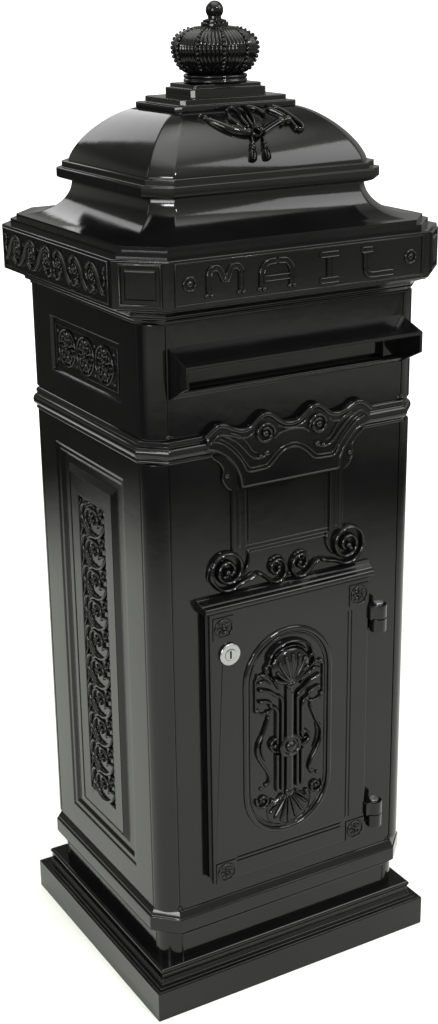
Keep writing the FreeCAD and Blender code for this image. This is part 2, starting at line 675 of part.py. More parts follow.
# ---------------------------------------------------------------- door
def door_leaf():
    """Cast door plate with the lock hole and the grooves beside and below its raised field."""
    y0 = -DOOR_FRONT
    leaf = block(DOOR_X, (y0, y0 + DOOR_PLATE), DOOR_Z)
    front_edges = [e for e in leaf.Edges
                   if all(abs(v.Y - y0) < 0.01 for v in e.Vertexes)]
    leaf = leaf.makeChamfer(0.8, front_edges)
    for x, z in (((63.6, 65.6), (172.0, 417.0)), ((68.4, 70.0), (172.0, 417.0)),
                 ((-73.0, 59.0), (166.0, 168.0)), ((-73.0, 59.0), (161.6, 163.2))):
        leaf = leaf.cut(block(x, (y0 - 1, y0 + 1.2), z))
    hole = rod(LOCK_THREAD_R + HOLE_CLEAR, (LOCK_X, y0 - 1, LOCK_Z), (LOCK_X, y0 + DOOR_PLATE + 1, LOCK_Z))
    return leaf.cut(hole)


def frame_bars(x, z, width, y):
    """Four straight bars round a rectangle, butted at the corners."""
    return Part.makeCompound([
        block((x[0], x[0] + width), y, z), block((x[1] - width, x[1]), y, z),
        block((x[0] + width, x[1] - width), y, (z[0], z[0] + width)),
        block((x[0] + width, x[1] - width), y, (z[1] - width, z[1]))])


def door_seal():
    """Rubber strips between the door plate and the body, just inside the door's edge."""
    x = (DOOR_X[0] + 1, DOOR_X[1] - 1)
    z = (DOOR_Z[0] + 1, DOOR_Z[1] - 1)
    back = -FRONT - DOOR_GAP
    return frame_bars(x, z, SEAL_WIDTH, (-DOOR_FRONT + DOOR_PLATE, back))


def door_spigot():
    """Stiffening bars behind the door plate that enter the body's aperture, with a gap at the lock."""
    x = (APERTURE_X[0] + SPIGOT_CLEAR, APERTURE_X[1] - SPIGOT_CLEAR)
    z = (APERTURE_Z[0] + SPIGOT_CLEAR, APERTURE_Z[1] - SPIGOT_CLEAR)
    y0 = -DOOR_FRONT + DOOR_PLATE
    bars = frame_bars(x, z, SPIGOT_WALL, (y0, y0 + SPIGOT_DEPTH))
    gap = block((x[0] - 1, x[0] + SPIGOT_WALL + 1), (y0 - 1, y0 + SPIGOT_DEPTH + 1),
                (LOCK_Z - LOCK_ROOM, LOCK_Z + LOCK_ROOM))
    return bars.cut(gap)


def medallion_rim():
    """Raised oblong ring with round ends."""
    def oblong(half, y):
        low, high = RIM_Z[0] + RIM_HALF_WIDTH, RIM_Z[1] - RIM_HALF_WIDTH
        bar = block((RIM_X - half, RIM_X + half), y, (low, high))
        ends = [rod(half, (RIM_X, y[0], z), (RIM_X, y[1], z)) for z in (low, high)]
        return fused([bar] + ends)
    y = (-DOOR_FRONT - RIM_PROUD, -DOOR_FRONT)
    return oblong(RIM_HALF_WIDTH, y).cut(oblong(RIM_HALF_WIDTH - RIM_WIDTH, (y[0] - 1, y[1] + 1)))


def corner_blocks():
    """Four square bosses near the door's corners that carry the rosettes."""
    y = (-DOOR_FRONT - BLOCK_PROUD, -DOOR_FRONT)
    h = BLOCK_HALF
    blocks = [block((x - h, x + h), y, (z - h, z + h)) for z in BLOCK_Z for x in BLOCK_X]
    return Part.makeCompound(blocks)


def drip_ledge():
    """Moulded ledge over the door, with mitred ends."""
    f = -FRONT
    profile = [(0, 0), (16.0, 0), (16.8, 1.0), (16.8, 4.6), (15.0, 6.0), (11.6, 6.4), (9.6, 8.4), (6.0, 9.4),
               (3.6, 12.0), (0, LEDGE_Z[1] - LEDGE_Z[0])]
    x0, x1 = LEDGE_X
    z = LEDGE_Z[0] - 10
    bar = extruded([(x0, f - out, LEDGE_Z[0] + rise) for out, rise in profile], (x1 - x0, 0, 0))
    for x, turn in ((x0, 1), (x1, -1)):
        wedge = extruded([(x - turn, f - 20, z), (x + turn * 5.0, f - 20, z), (x - turn, f + 4, z)], (0, 0, 40))
        bar = bar.cut(wedge)
    return bar


# ---------------------------------------------------------------- hinges
def hinge_barrel(z):
    """The round of one knuckle, before boring."""
    return rod(HINGE_BARREL_R, (HINGE_X, HINGE_Y, z[0]), (HINGE_X, HINGE_Y, z[1]))


def bored(shape, z):
    hole = rod(HINGE_PIN_R + HINGE_CLEAR, (HINGE_X, HINGE_Y, z[0] - 1), (HINGE_X, HINGE_Y, z[1] + 1))
    return shape.cut(hole)


def frame_knuckles():
    """The two lower knuckles, each with a foot on the body's front panel."""
    parts = []
    for z0 in HINGE_FEET_Z:
        z = (z0, z0 + HINGE_KNUCKLE)
        foot = block((HINGE_X - 6.5, HINGE_X + 8.5), (HINGE_Y, -FRONT), z)
        parts.append(bored(fused([hinge_barrel(z), foot]), z))
    return Part.makeCompound(parts)


def door_knuckles():
    """The two upper knuckles, each with an arm to the edge of the door plate."""
    parts = []
    for z0 in HINGE_FEET_Z:
        z = (z0 + HINGE_KNUCKLE + HINGE_PLAY, z0 + 2 * HINGE_KNUCKLE + HINGE_PLAY)
        arm = block((DOOR_X[1], HINGE_X), (HINGE_Y - 4.5, -DOOR_FRONT + DOOR_PLATE), z)
        parts.append(bored(fused([hinge_barrel(z), arm]), z))
    return Part.makeCompound(parts)


def hinge_pins():
    """Two headed pins, dropped in from above."""
    pins = []
    for z0 in HINGE_FEET_Z:
        top = z0 + 2 * HINGE_KNUCKLE + HINGE_PLAY + 0.3
        shaft = rod(HINGE_PIN_R, (HINGE_X, HINGE_Y, z0 + 0.5), (HINGE_X, HINGE_Y, top))
        head = rod(5.0, (HINGE_X, HINGE_Y, top), (HINGE_X, HINGE_Y, top + 1.8))
        pins.append(fused([shaft, head]))
    return Part.makeCompound(pins)


# ---------------------------------------------------------------- lock
LOCK_FRONT = -DOOR_FRONT - 3.2
LOCK_BACK = -INNER_FRONT + 1.2


def lock_barrel():
    """Cam-lock housing: a round face and a body through the door plate, bored for the plug."""
    face = rod(LOCK_FACE_R, (LOCK_X, LOCK_FRONT, LOCK_Z), (LOCK_X, -DOOR_FRONT, LOCK_Z))
    rim = [e for e in face.Edges if e.Length > 60 and abs(e.Vertexes[0].Y - LOCK_FRONT) < 0.01]
    face = face.makeFillet(1.2, rim)
    body = rod(LOCK_THREAD_R, (LOCK_X, -DOOR_FRONT, LOCK_Z), (LOCK_X, LOCK_BACK, LOCK_Z))
    bore = rod(LOCK_PLUG_R + LOCK_CLEAR, (LOCK_X, LOCK_FRONT - 1, LOCK_Z), (LOCK_X, LOCK_BACK + 1, LOCK_Z))
    return fused([face, body]).cut(bore)


def lock_plug():
    """Turning plug with a keyhole, and a square tail for the cam."""
    plug = rod(LOCK_PLUG_R, (LOCK_X, LOCK_FRONT - 0.4, LOCK_Z), (LOCK_X, LOCK_BACK + 0.3, LOCK_Z))
    keyhole = block((LOCK_X - 0.9, LOCK_X + 0.9), (LOCK_FRONT - 1, LOCK_FRONT + 9), (LOCK_Z - 4.2, LOCK_Z + 4.2))
    tail = block((LOCK_X - CAM_SQUARE, LOCK_X + CAM_SQUARE), (LOCK_BACK + 0.3, LOCK_BACK + 0.3 + CAM_THICK),
                 (LOCK_Z - CAM_SQUARE, LOCK_Z + CAM_SQUARE))
    return fused([plug.cut(keyhole), tail])


def lock_cam():
    """Cam arm that hangs down when the door is free and turns behind the body's front panel."""
    y = (LOCK_BACK + 0.3, LOCK_BACK + 0.3 + CAM_THICK)
    head = rod(CAM_HEAD_R, (LOCK_X, y[0], LOCK_Z), (LOCK_X, y[1], LOCK_Z))
    arm = block((LOCK_X - 6, LOCK_X + 6), y, (LOCK_Z - CAM_LENGTH, LOCK_Z))
    square = block((LOCK_X - CAM_SQUARE, LOCK_X + CAM_SQUARE), (y[0] - 1, y[1] + 1),
                   (LOCK_Z - CAM_SQUARE, LOCK_Z + CAM_SQUARE))
    return fused([head, arm]).cut(square)


def lock_cam_screw():
    y0 = LOCK_BACK + 0.3 + CAM_THICK
    return rod(5.0, (LOCK_X, y0, LOCK_Z), (LOCK_X, y0 + 2.6, LOCK_Z))


def lock_nut():
    """Hexagon nut that clamps the lock housing to the door plate."""
    nut = hexagon_nut(24.0, (0, 4.5), LOCK_THREAD_R + HOLE_CLEAR)
    nut.rotate(V(0, 0, 0), V(0, 0, 1), 30)
    nut.rotate(V(0, 0, 0), V(1, 0, 0), -90)
    nut.translate(V(LOCK_X, -DOOR_FRONT + DOOR_PLATE, LOCK_Z))
    return nut


def strike_plate():
    """Hardened plate on the inside of the body that the cam slides behind."""
    return block((-120.0, -95.0), (-INNER_FRONT, -INNER_FRONT + 1.0), (LOCK_Z - 15, LOCK_Z + 15))


# ---------------------------------------------------------------- inside
def tray_rails():
    """Two angle rails on the side panels that carry the letter tray."""
    inner = SIDE - PANEL
    shelf = TRAY_Z[0]
    outline = [(inner, shelf - RAIL_SHEET), (inner - RAIL_SHELF, shelf - RAIL_SHEET), (inner - RAIL_SHELF, shelf),
               (inner - RAIL_SHEET, shelf), (inner - RAIL_SHEET, RAIL_TOP), (inner, RAIL_TOP)]
    rail = extruded([(x, -RAIL_HALF_LENGTH, z) for x, z in outline], (0, 2 * RAIL_HALF_LENGTH, 0))
    return Part.makeCompound([rail, mirrored_x(rail)])


def letter_tray():
    """Lift-out floor of the letter compartment: a sheet with low upturned rims."""
    plate = square_stack(TRAY_PLAN, [(0, TRAY_Z[0]), (0, TRAY_Z[1])])
    inside = square_stack(TRAY_PLAN, [(-TRAY_SHEET, TRAY_Z[0] + TRAY_SHEET), (-TRAY_SHEET, TRAY_Z[1] + 1)])
    return plate.cut(inside)


def main():
    lower = (LOWER_FOOT, LOWER_TOP)
    upper = (UPPER_FOOT, UPPER_TOP)
    nodes = {
        "base_plinth": base_plinth(), "floor_plate": floor_plate(), "base_neck": base_neck(),
        "base_band": base_band(), "lower_front_panel": lower_front_panel(),
        "lower_left_panel": turned_to_side(lower_side_panel(), -1),
        "lower_right_panel": turned_to_side(lower_side_panel(), 1),
        "lower_rear_panel": lower_rear_panel(), "mid_band": mid_band(),
        "upper_front_panel": upper_front_panel(),
        "upper_left_panel": turned_to_side(upper_side_panel(), -1),
        "upper_right_panel": turned_to_side(upper_side_panel(), 1),
        "upper_rear_panel": upper_rear_panel(), "under_cornice": under_cornice(), "frieze": frieze(),
        "cornice_deck": cornice_deck(), "roof_skirt": roof_skirt(), "eave": eave(), "dome": dome(),
        "stepped_cap": stepped_cap(), "finial_ring": finial_ring(), "finial_crown": finial_crown(),
        "finial_ball": finial_ball(), "roof_rod": roof_rod(), "roof_nut": roof_nut(),
        "tie_rods": tie_rods(), "tie_rod_nuts": tie_rod_nuts(), "slot_hood": slot_hood(),
        "slot_sill": slot_sill(), "letter_flap": letter_flap(), "flap_pin": flap_pin(),
        "flap_lugs": flap_lugs(), "letter_chute": letter_chute(), "reach_baffle": reach_baffle(),
        "door_leaf": door_leaf(), "door_seal": door_seal(), "door_spigot": door_spigot(),
        "medallion_rim": medallion_rim(), "corner_blocks": corner_blocks(), "drip_ledge": drip_ledge(),
        "frame_knuckles": frame_knuckles(), "door_knuckles": door_knuckles(), "hinge_pins": hinge_pins(),
        "lock_barrel": lock_barrel(), "lock_plug": lock_plug(), "lock_cam": lock_cam(),
        "lock_cam_screw": lock_cam_screw(), "lock_nut": lock_nut(), "strike_plate": strike_plate(),
        "tray_rails": tray_rails(), "letter_tray": letter_tray(),
    }
    for tag, sx, sy in (("front_left", -1, -1), ("front_right", 1, -1), ("rear_left", -1, 1),
                        ("rear_right", 1, 1)):
        nodes["lower_column_" + tag] = corner_column(lower, sx, sy)
        nodes["upper_column_" + tag] = corner_column(upper, sx, sy)
    os.makedirs("parts", exist_ok=True)
    for name, shape in nodes.items():
        if not shape.isValid():
            print("not valid:", name)
        shape.exportStep(os.path.join("parts", name + ".step"))
    print(len(nodes), "sub-parts")


main()
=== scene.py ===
"""Looks of the free-standing street letterbox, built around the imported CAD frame.

Blender's own units are metres. A relief is drawn in millimetres on the face that carries it: u runs
across the face, v up it and h out of it. Every face is placed from the boxes of the CAD nodes.
"""

import json
import math

import bpy
import bmesh
from mathutils import Matrix, Vector
from mathutils.geometry import tessellate_polygon


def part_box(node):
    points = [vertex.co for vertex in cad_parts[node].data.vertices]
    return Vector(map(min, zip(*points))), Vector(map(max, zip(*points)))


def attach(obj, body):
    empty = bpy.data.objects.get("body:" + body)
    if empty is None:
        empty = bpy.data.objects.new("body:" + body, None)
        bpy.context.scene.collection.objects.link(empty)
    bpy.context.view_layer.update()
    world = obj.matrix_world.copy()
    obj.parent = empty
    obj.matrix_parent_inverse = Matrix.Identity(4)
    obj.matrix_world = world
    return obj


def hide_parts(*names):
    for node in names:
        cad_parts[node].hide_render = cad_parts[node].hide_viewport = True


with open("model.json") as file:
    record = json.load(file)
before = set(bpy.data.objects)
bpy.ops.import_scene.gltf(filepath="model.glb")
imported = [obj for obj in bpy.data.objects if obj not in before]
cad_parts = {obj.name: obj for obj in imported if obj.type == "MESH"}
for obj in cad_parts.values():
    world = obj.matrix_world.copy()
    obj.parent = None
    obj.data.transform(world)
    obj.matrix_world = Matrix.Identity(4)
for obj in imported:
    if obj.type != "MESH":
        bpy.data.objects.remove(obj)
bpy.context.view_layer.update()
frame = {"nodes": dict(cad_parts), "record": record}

MM = 0.001
UP = Vector((0, 0, 1))


# ---------------- faces that carry relief
def edge_mm(node, side, axis):
    """One limit of a CAD node in mm: side 0 is its lowest corner, 1 its highest; axis 0, 1, 2 is x, y, z."""
    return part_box(node)[side][axis] / MM


FRONT_Y = edge_mm("lower_front_panel", 0, 1)
DOOR_Y = edge_mm("door_leaf", 0, 1)
FRIEZE_Y = edge_mm("frieze", 0, 1)


class FlatFace:
    """A flat upright face, from a point on it and its outward direction. u runs to the viewer's right."""

    def __init__(self, origin, outward):
        self.origin = Vector(origin)
        self.outward = Vector(outward).normalized()
        self.across = UP.cross(self.outward)

    def __call__(self, u, v, h):
        return (self.origin + self.across * u + UP * v + self.outward * h) * MM


def front_face(y, axis_x=0.0):
    return FlatFace((axis_x, y, 0), (0, -1, 0))


def rear_face(y):
    return FlatFace((0, y, 0), (0, 1, 0))


def left_face(x):
    return FlatFace((x, 0, 0), (-1, 0, 0))


def right_face(x):
    return FlatFace((x, 0, 0), (1, 0, 0))


class DomeFace:
    """The front of the dome: u across, v the distance in mm up its curve from the foot."""
    SWELL = 2 / 1.45
    STEPS = 200

    def __init__(self, foot, top, axis_x=0.0):
        self.axis_x = axis_x
        self.curve = []
        travel = 0.0
        for i in range(self.STEPS + 1):
            a = math.pi / 2 * i / self.STEPS
            depth = top[0] + (foot[0] - top[0]) * max(math.cos(a), 0.0) ** self.SWELL
            z = foot[1] + (top[1] - foot[1]) * math.sin(a) ** self.SWELL
            if self.curve:
                travel += math.hypot(depth - self.curve[-1][1], z - self.curve[-1][2])
            self.curve.append((travel, depth, z))

    def __call__(self, u, v, h):
        i = 1
        while i < len(self.curve) - 1 and self.curve[i][0] < v:
            i += 1
        (t0, d0, z0), (t1, d1, z1) = self.curve[i - 1], self.curve[i]
        share = (v - t0) / (t1 - t0)
        run, rise = d1 - d0, z1 - z0
        length = math.hypot(run, rise)
        depth = d0 + run * share + h * rise / length
        z = z0 + rise * share - h * run / length
        return Vector((self.axis_x + u, -depth, z)) * MM


class RoundFace:
    """A turned surface about the post's axis: u is the angle in degrees, v the height, h out from it."""

    def __init__(self, radius_at):
        self.radius_at = radius_at

    def __call__(self, u, v, h):
        a = math.radians(u)
        r = self.radius_at(v) + h
        return Vector((r * math.sin(a), -r * math.cos(a), v)) * MM


# ---------------- sections of raised lines
# Each is a list of (share of the half width, share of the height) from one edge to the other.
def arc_section(steps):
    return [(-math.cos(math.pi * i / steps), math.sin(math.pi * i / steps)) for i in range(steps + 1)]


def even_section(half):
    """A section from its left half, which may end on the middle."""
    return half + [(-s, t) for s, t in reversed(half) if s < 0]


ROUND = arc_section(8)
SMALL_ROUND = arc_section(5)
RIDGE = even_section([(-1, 0), (-0.62, 0.45), (-0.16, 0.94), (0, 1)])
CHANNEL = even_section([(-1, 0), (-0.97, 0.55), (-0.86, 0.9), (-0.72, 1), (-0.56, 0.86), (-0.44, 0.5)])
REEDED = even_section([(-1, 0), (-0.97, 0.5), (-0.8, 0.85), (-0.6, 0.9), (-0.42, 0.62), (-0.3, 0.85),
                       (-0.1, 1)])
EMBED = 0.6
SLIMMEST = 0.16
MITRE_LIMIT = 0.35
BOSS_TIP_R = 0.02


# ---------------- lines
def smooth_line(points, closed=False, per_span=8):
    """A Catmull-Rom curve through the points, as a fine polyline."""
    count = len(points)
    if count < 3 and not closed:
        return [Vector(p) for p in points]
    spans = count if closed else count - 1
    line = []
    for i in range(spans):
        near = [(i + k) % count if closed else min(max(i + k, 0), count - 1) for k in (-1, 0, 1, 2)]
        p = [Vector(points[k]) for k in near]
        for j in range(per_span):
            t = j / per_span
            line.append(0.5 * (2 * p[1] + (p[2] - p[0]) * t + (2 * p[0] - 5 * p[1] + 4 * p[2] - p[3]) * t ** 2
                               + (3 * p[1] - p[0] - 3 * p[2] + p[3]) * t ** 3))
    if not closed:
        line.append(Vector(points[-1]))
    return line


def spaced(line, step, taper, closed):
    """Points along a polyline about a step apart, closer at ends that round off, with their distance."""
    travel = [0.0]
    track = line + [line[0]] if closed else line
    for a, b in zip(track, track[1:]):
        travel.append(travel[-1] + (b - a).length)
    total = travel[-1]
    count = max(2, round(total / step))
    places = {total * i / count for i in range(count if closed else count + 1)}
    for reach, start in ((taper[0], True), (taper[1], False)):
        for k in range(1, 4):
            d = reach * (1 - math.cos(math.pi / 2 * k / 4))
            if 0 < d < total:
                places.add(d if start else total - d)
    found = []
    i = 0
    for d in sorted(places):
        while i < len(track) - 2 and travel[i + 1] < d:
            i += 1
        gap = travel[i + 1] - travel[i]
        share = (d - travel[i]) / gap if gap > 0 else 0.0
        found.append((track[i].lerp(track[i + 1], share), d))
    return found, total


def polar(centre, radius, degrees):
    """The point at a distance from a centre, at an angle in degrees from +u."""
    a = math.radians(degrees)
    return (centre[0] + radius * math.cos(a), centre[1] + radius * math.sin(a))


def arc(centre, radius, start, end, steps=12):
    """Points on a circle from one angle to another."""
    return spiral(centre, (radius, radius), start, end, steps)


def spiral(centre, radii, start, end, steps=24):
    """Points on a spiral whose radius changes evenly from radii[0] to radii[1]."""
    return [polar(centre, radii[0] + (radii[1] - radii[0]) * i / steps, start + (end - start) * i / steps)
            for i in range(steps + 1)]


def flipped(points):
    return [(-u, v) for u, v in points]


def through(points):
    """A line that ends on the middle, carried on to its mirror image."""
    return points + flipped(points[:-1])[::-1]


def mitred(points):
    """Each corner of an anticlockwise polygon, with the step that moves both its edges in by 1."""
    found = []
    for i, point in enumerate(points):
        here = Vector(point)
        before = (here - Vector(points[i - 1])).normalized()
        after = (Vector(points[(i + 1) % len(points)]) - here).normalized()
        inward = Vector((-before.y, before.x))
        side = (inward + Vector((-after.y, after.x))).normalized()
        found.append((here, side / max(MITRE_LIMIT, side.dot(inward))))
    return found


# ---------------- relief meshes
def join_rings(mesh, rings, closed=False):
    """Turns rings of points into rings of vertices with faces between them, and returns the vertices."""
    made = [[mesh.verts.new(p) for p in ring] for ring in rings]
    for a, b in zip(made, made[1:] + made[:1] if closed else made[1:]):
        for i in range(len(a)):
            mesh.faces.new((a[i - 1], a[i], b[i], b[i - 1]))
    return made


def join_and_cap(mesh, rings):
    made = join_rings(mesh, rings)
    mesh.faces.new(made[0])
    mesh.faces.new(made[-1][::-1])


def section_ring(spot, side, height, section, base):
    """A raised line's section at a spot. side is half its width, as a vector across it."""
    ring = [(spot.x + side.x * s, spot.y + side.y * s, base + height * t) for s, t in section]
    return ring + [(spot.x + side.x * s, spot.y + side.y * s, base - EMBED) for s in (1, -1)]


class Relief:
    """Collects closed raised shapes on one face, and becomes one piece."""

    def __init__(self, face):
        self.face = face
        self.mesh = bmesh.new()

    def placed(self, rings):
        return [[self.face(*p) for p in ring] for ring in rings]

    def stroke(self, points, width, height, taper=None, base=0.0, section=ROUND, closed=False, step=1.5,
               curved=True):
        """A raised line. taper gives how far from each end it reaches its full width and height."""
        taper = (width / 2, width / 2) if taper is None else taper
        line = smooth_line(points, closed) if curved else [Vector(p) for p in points]
        found, total = spaced(line, step, (0, 0) if closed else taper, closed)
        rings = []
        last = len(found) - 1
        for i, (spot, d) in enumerate(found):
            ahead = found[(i + 1) % len(found) if closed else min(i + 1, last)][0]
            behind = found[i - 1 if closed else max(i - 1, 0)][0]
            along = (ahead - behind).normalized()
            size = 1.0
            if not closed:
                for reach, gap in ((taper[0], d), (taper[1], total - d)):
                    if reach > 0 and gap < reach:
                        size *= math.sqrt(max(0.0, 1 - (1 - gap / reach) ** 2))
            size = max(size, SLIMMEST)
            side = Vector((-along.y, along.x)) * (width / 2 * size)
            rings.append(section_ring(spot, side, height * size, section, base))
        if closed:
            join_rings(self.mesh, self.placed(rings), True)
        else:
            join_and_cap(self.mesh, self.placed(rings))

    def bar(self, start, end, width, height, taper=(1, 1), base=0.0, section=ROUND):
        """A straight raised line."""
        self.stroke([start, end], width, height, taper, base, section, curved=False)

    def frame_line(self, corners, width, height, base=0.0):
        """A raised line round a polygon, mitred at its corners."""
        rings = [section_ring(here, side * (width / 2), height, ROUND, base)
                 for here, side in mitred(corners)]
        join_rings(self.mesh, self.placed(rings), True)

    def boss(self, centre, profile, sides=20, base=0.0, squash=1.0):
        """A turned shape: profile is (radius, height) from its edge in; squash scales it along v."""
        rings = []
        for r, h in [(profile[0][0], -EMBED), *profile]:
            spots = [polar((0, 0), max(r, BOSS_TIP_R), 360 * k / sides) for k in range(sides)]
            rings.append([(centre[0] + u, centre[1] + v * squash, base + h) for u, v in spots])
        join_and_cap(self.mesh, self.placed(rings))

    def bead(self, centre, radius, height, base=0.0, sides=14):
        quarter = arc((0, 0), 1, 0, 90, 5)
        self.boss(centre, [(radius * r, height * h) for r, h in quarter], sides, base)

    def hoop(self, centre, radius, width, height, base=0.0):
        self.stroke(arc(centre, radius, 0, 342, 19), width, height, base=base, closed=True)

    # The next four draw the same thing on each side of the middle.
    def pair(self, points, *shape, **more):
        for side in (-1, 1):
            self.stroke([(side * u, v) for u, v in points], *shape, **more)

    def bars(self, start, end, *shape, **more):
        for side in (-1, 1):
            self.bar((side * start[0], start[1]), (side * end[0], end[1]), *shape, **more)

    def beads(self, centre, *shape, **more):
        for side in (-1, 1):
            self.bead((side * centre[0], centre[1]), *shape, **more)

    def hoops(self, centre, *shape):
        for side in (-1, 1):
            self.hoop((side * centre[0], centre[1]), *shape)

    def flower(self, centre, petals, reach, width, height, base=0.0, turn=0.0):
        """Petals as tapered ridges round a small bead."""
        for k in range(petals):
            a = turn + 360 * k / petals
            petal = [polar(centre, 0.2 * reach, a), polar(centre, reach, a)]
            self.stroke(petal, width, height, (reach * 0.7, width * 0.6), base, SMALL_ROUND)
        self.bead(centre, reach * 0.26, height * 1.3, base, 10)

    def plate(self, outline, height, bevel, base=0.0):
        """A flat raised plate with a bevelled edge. The outline runs anticlockwise."""
        inner = [here + side * bevel for here, side in mitred(outline)]
        rings = [[(*p, base - EMBED) for p in outline], [(*p, base + height - bevel) for p in outline],
                 [(p.x, p.y, base + height) for p in inner]]
        made = join_rings(self.mesh, self.placed(rings))
        for ring, points in ((made[0], outline), (made[-1], inner)):
            for t in tessellate_polygon([[Vector((p[0], p[1], 0)) for p in points]]):
                self.mesh.faces.new([ring[k] for k in t])

    def piece(self, name, body="letterbox", smooth_angle=40.0, replaces=()):
        return finish_piece(self.mesh, name, body, smooth_angle, replaces)


def finish_piece(mesh, name, body, smooth_angle, replaces=()):
    """Turns a bmesh into a named, coated piece that rides on a CAD body."""
    bmesh.ops.recalc_face_normals(mesh, faces=mesh.faces)
    data = bpy.data.meshes.new(name)
    mesh.to_mesh(data)
    mesh.free()
    data.shade_smooth()
    data.set_sharp_from_angle(angle=math.radians(smooth_angle))
    data.materials.append(COAT)
    made = bpy.data.objects.new(name, data)
    bpy.context.scene.collection.objects.link(made)
    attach(made, body)
    for node in replaces:
        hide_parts(node)
    return made


# ---------------- camera
CAMERA_PLACE = Vector((-0.7899, -1.3579, 1.0526))
CAMERA_YAW_PITCH_ROLL = (-30.1, -19.57, -0.8)
CAMERA_FOCAL_PX = 1538.43
IMAGE_HEIGHT_PX = 1024
SENSOR_MM = 36.0


def make_camera():
    yaw, pitch, roll = [math.radians(a) for a in CAMERA_YAW_PITCH_ROLL]
    forward = Vector((-math.sin(yaw) * math.cos(pitch), math.cos(yaw) * math.cos(pitch), math.sin(pitch)))
    level = Vector((math.cos(yaw), math.sin(yaw), 0))
    upright = level.cross(forward)
    right = math.cos(roll) * level + math.sin(roll) * upright
    up = -math.sin(roll) * level + math.cos(roll) * upright
    data = bpy.data.cameras.new("camera")
    data.sensor_width = SENSOR_MM
    data.lens = SENSOR_MM * CAMERA_FOCAL_PX / IMAGE_HEIGHT_PX
    data.clip_start = 0.02
    camera = bpy.data.objects.new("camera", data)
    axes = Matrix((right, up, -forward)).transposed()
    camera.matrix_world = Matrix.Translation(CAMERA_PLACE) @ axes.to_4x4()
    bpy.context.scene.collection.objects.link(camera)
    bpy.context.scene.camera = camera


# ---------------- materials
NOISE_SPREAD = (0.35, 0.65)


def new_material(name, colour, roughness, metallic=0.0):
    material = bpy.data.materials.new(name)
    material.use_nodes = True
    shader = material.node_tree.nodes["Principled BSDF"]
    shader.inputs["Base Color"].default_value = (*colour, 1)
    shader.inputs["Roughness"].default_value = roughness
    shader.inputs["Metallic"].default_value = metallic
    return material, shader


def add_node(tree, kind, **inputs):
    """A shader node with its inputs set, each to a value or to another node's output."""
    node = tree.nodes.new(kind)
    for name, value in inputs.items():
        if isinstance(value, bpy.types.NodeSocket):
            tree.links.new(value, node.inputs[name])
        else:
            node.inputs[name].default_value = value
    return node


def map_range(tree, value, source, target=(0.0, 1.0)):
    """Carries a value from one range to another."""
    ramp = add_node(tree, "ShaderNodeMapRange", Value=value)
    for name, limit in zip(("From Min", "From Max", "To Min", "To Max"), (*source, *target)):
        ramp.inputs[name].default_value = limit
    return ramp.outputs["Result"]


def colour_ramp(tree, value, stops):
    """A colour that follows a value through stops of (position, colour)."""
    ramp = add_node(tree, "ShaderNodeValToRGB", Fac=value)
    while len(ramp.color_ramp.elements) < len(stops):
        ramp.color_ramp.elements.new(0.5)
    for element, (position, colour) in zip(ramp.color_ramp.elements, stops):
        element.position = position
        element.color = (*colour, 1)
    return ramp.outputs["Color"]


def object_noise(tree, scale, detail=3.0, stretch=(1, 1, 1)):
    """Noise in the part's own coordinates, so that it stays put on moving pieces."""
    place = tree.nodes.new("ShaderNodeTexCoord")
    mapping = add_node(tree, "ShaderNodeMapping", Scale=stretch, Vector=place.outputs["Object"])
    noise = add_node(tree, "ShaderNodeTexNoise", Scale=scale, Detail=detail, Vector=mapping.outputs["Vector"])
    return noise.outputs["Fac"]


def add_bump(tree, shader, noises):
    """Chains bumps, each (noise, strength, height in metres), into the shader's normal."""
    last = None
    for noise, strength, distance in noises:
        bump = add_node(tree, "ShaderNodeBump", Strength=strength, Distance=distance, Height=noise)
        if last is not None:
            tree.links.new(last.outputs["Normal"], bump.inputs["Normal"])
        last = bump
    tree.links.new(last.outputs["Normal"], shader.inputs["Normal"])


def vary(tree, noise, socket, low, high):
    """Drives a shader value from a noise, between low and high."""
    tree.links.new(map_range(tree, noise, NOISE_SPREAD, (low, high)), socket)


def vary_colour(tree, noise, socket, dark, light):
    tree.links.new(colour_ramp(tree, noise, list(zip(NOISE_SPREAD, (dark, light)))), socket)


def black_coat():
    """Gloss black powder coat over a sand casting: fine orange peel and a slow waviness below it."""
    material, shader = new_material("black_powder_coat", (0.0022, 0.0023, 0.0023), 0.10)
    tree = material.node_tree
    shader.inputs["IOR"].default_value = 1.335
    peel = object_noise(tree, 1400, 2.0)
    cast = object_noise(tree, 45, 3.0)
    cloud = object_noise(tree, 9, 4.0)
    add_bump(tree, shader, [(cast, 0.10, 0.0010), (peel, 0.10, 0.00012)])
    vary(tree, cloud, shader.inputs["Roughness"], 0.075, 0.125)
    base = shader.inputs["Base Color"]
    vary_colour(tree, cloud, base, (0.0018, 0.0019, 0.0019), (0.0028, 0.0029, 0.0029))
    return material


def grained(name, colour, roughness, metallic, noise, bump, spread):
    """A material with one noise that drives its bump and its roughness."""
    material, shader = new_material(name, colour, roughness, metallic)
    tree = material.node_tree
    grain = object_noise(tree, *noise)
    add_bump(tree, shader, [(grain, *bump)])
    vary(tree, grain, shader.inputs["Roughness"], *spread)
    return material, shader, grain


def plated_steel():
    """Bright zinc-plated steel with a faint drawn grain."""
    material, shader, grain = grained("plated_steel", (0.50, 0.51, 0.53), 0.36, 1.0, (260, 3.0, (1, 1, 0.08)),
                                      (0.12, 0.0001), (0.28, 0.46))
    base = shader.inputs["Base Color"]
    vary_colour(material.node_tree, grain, base, (0.42, 0.43, 0.45), (0.56, 0.57, 0.58))
    return material


def chromed():
    """Polished chrome with light handling marks."""
    return grained("chrome", (0.27, 0.27, 0.275), 0.16, 1.0, (700, 4.0), (0.04, 0.00005), (0.12, 0.24))[0]


def rubber():
    """Dull black sealing rubber."""
    return grained("seal_rubber", (0.006, 0.006, 0.006), 0.8, 0.0, (900, 3.0), (0.25, 0.0002), (0.7, 0.92))[0]


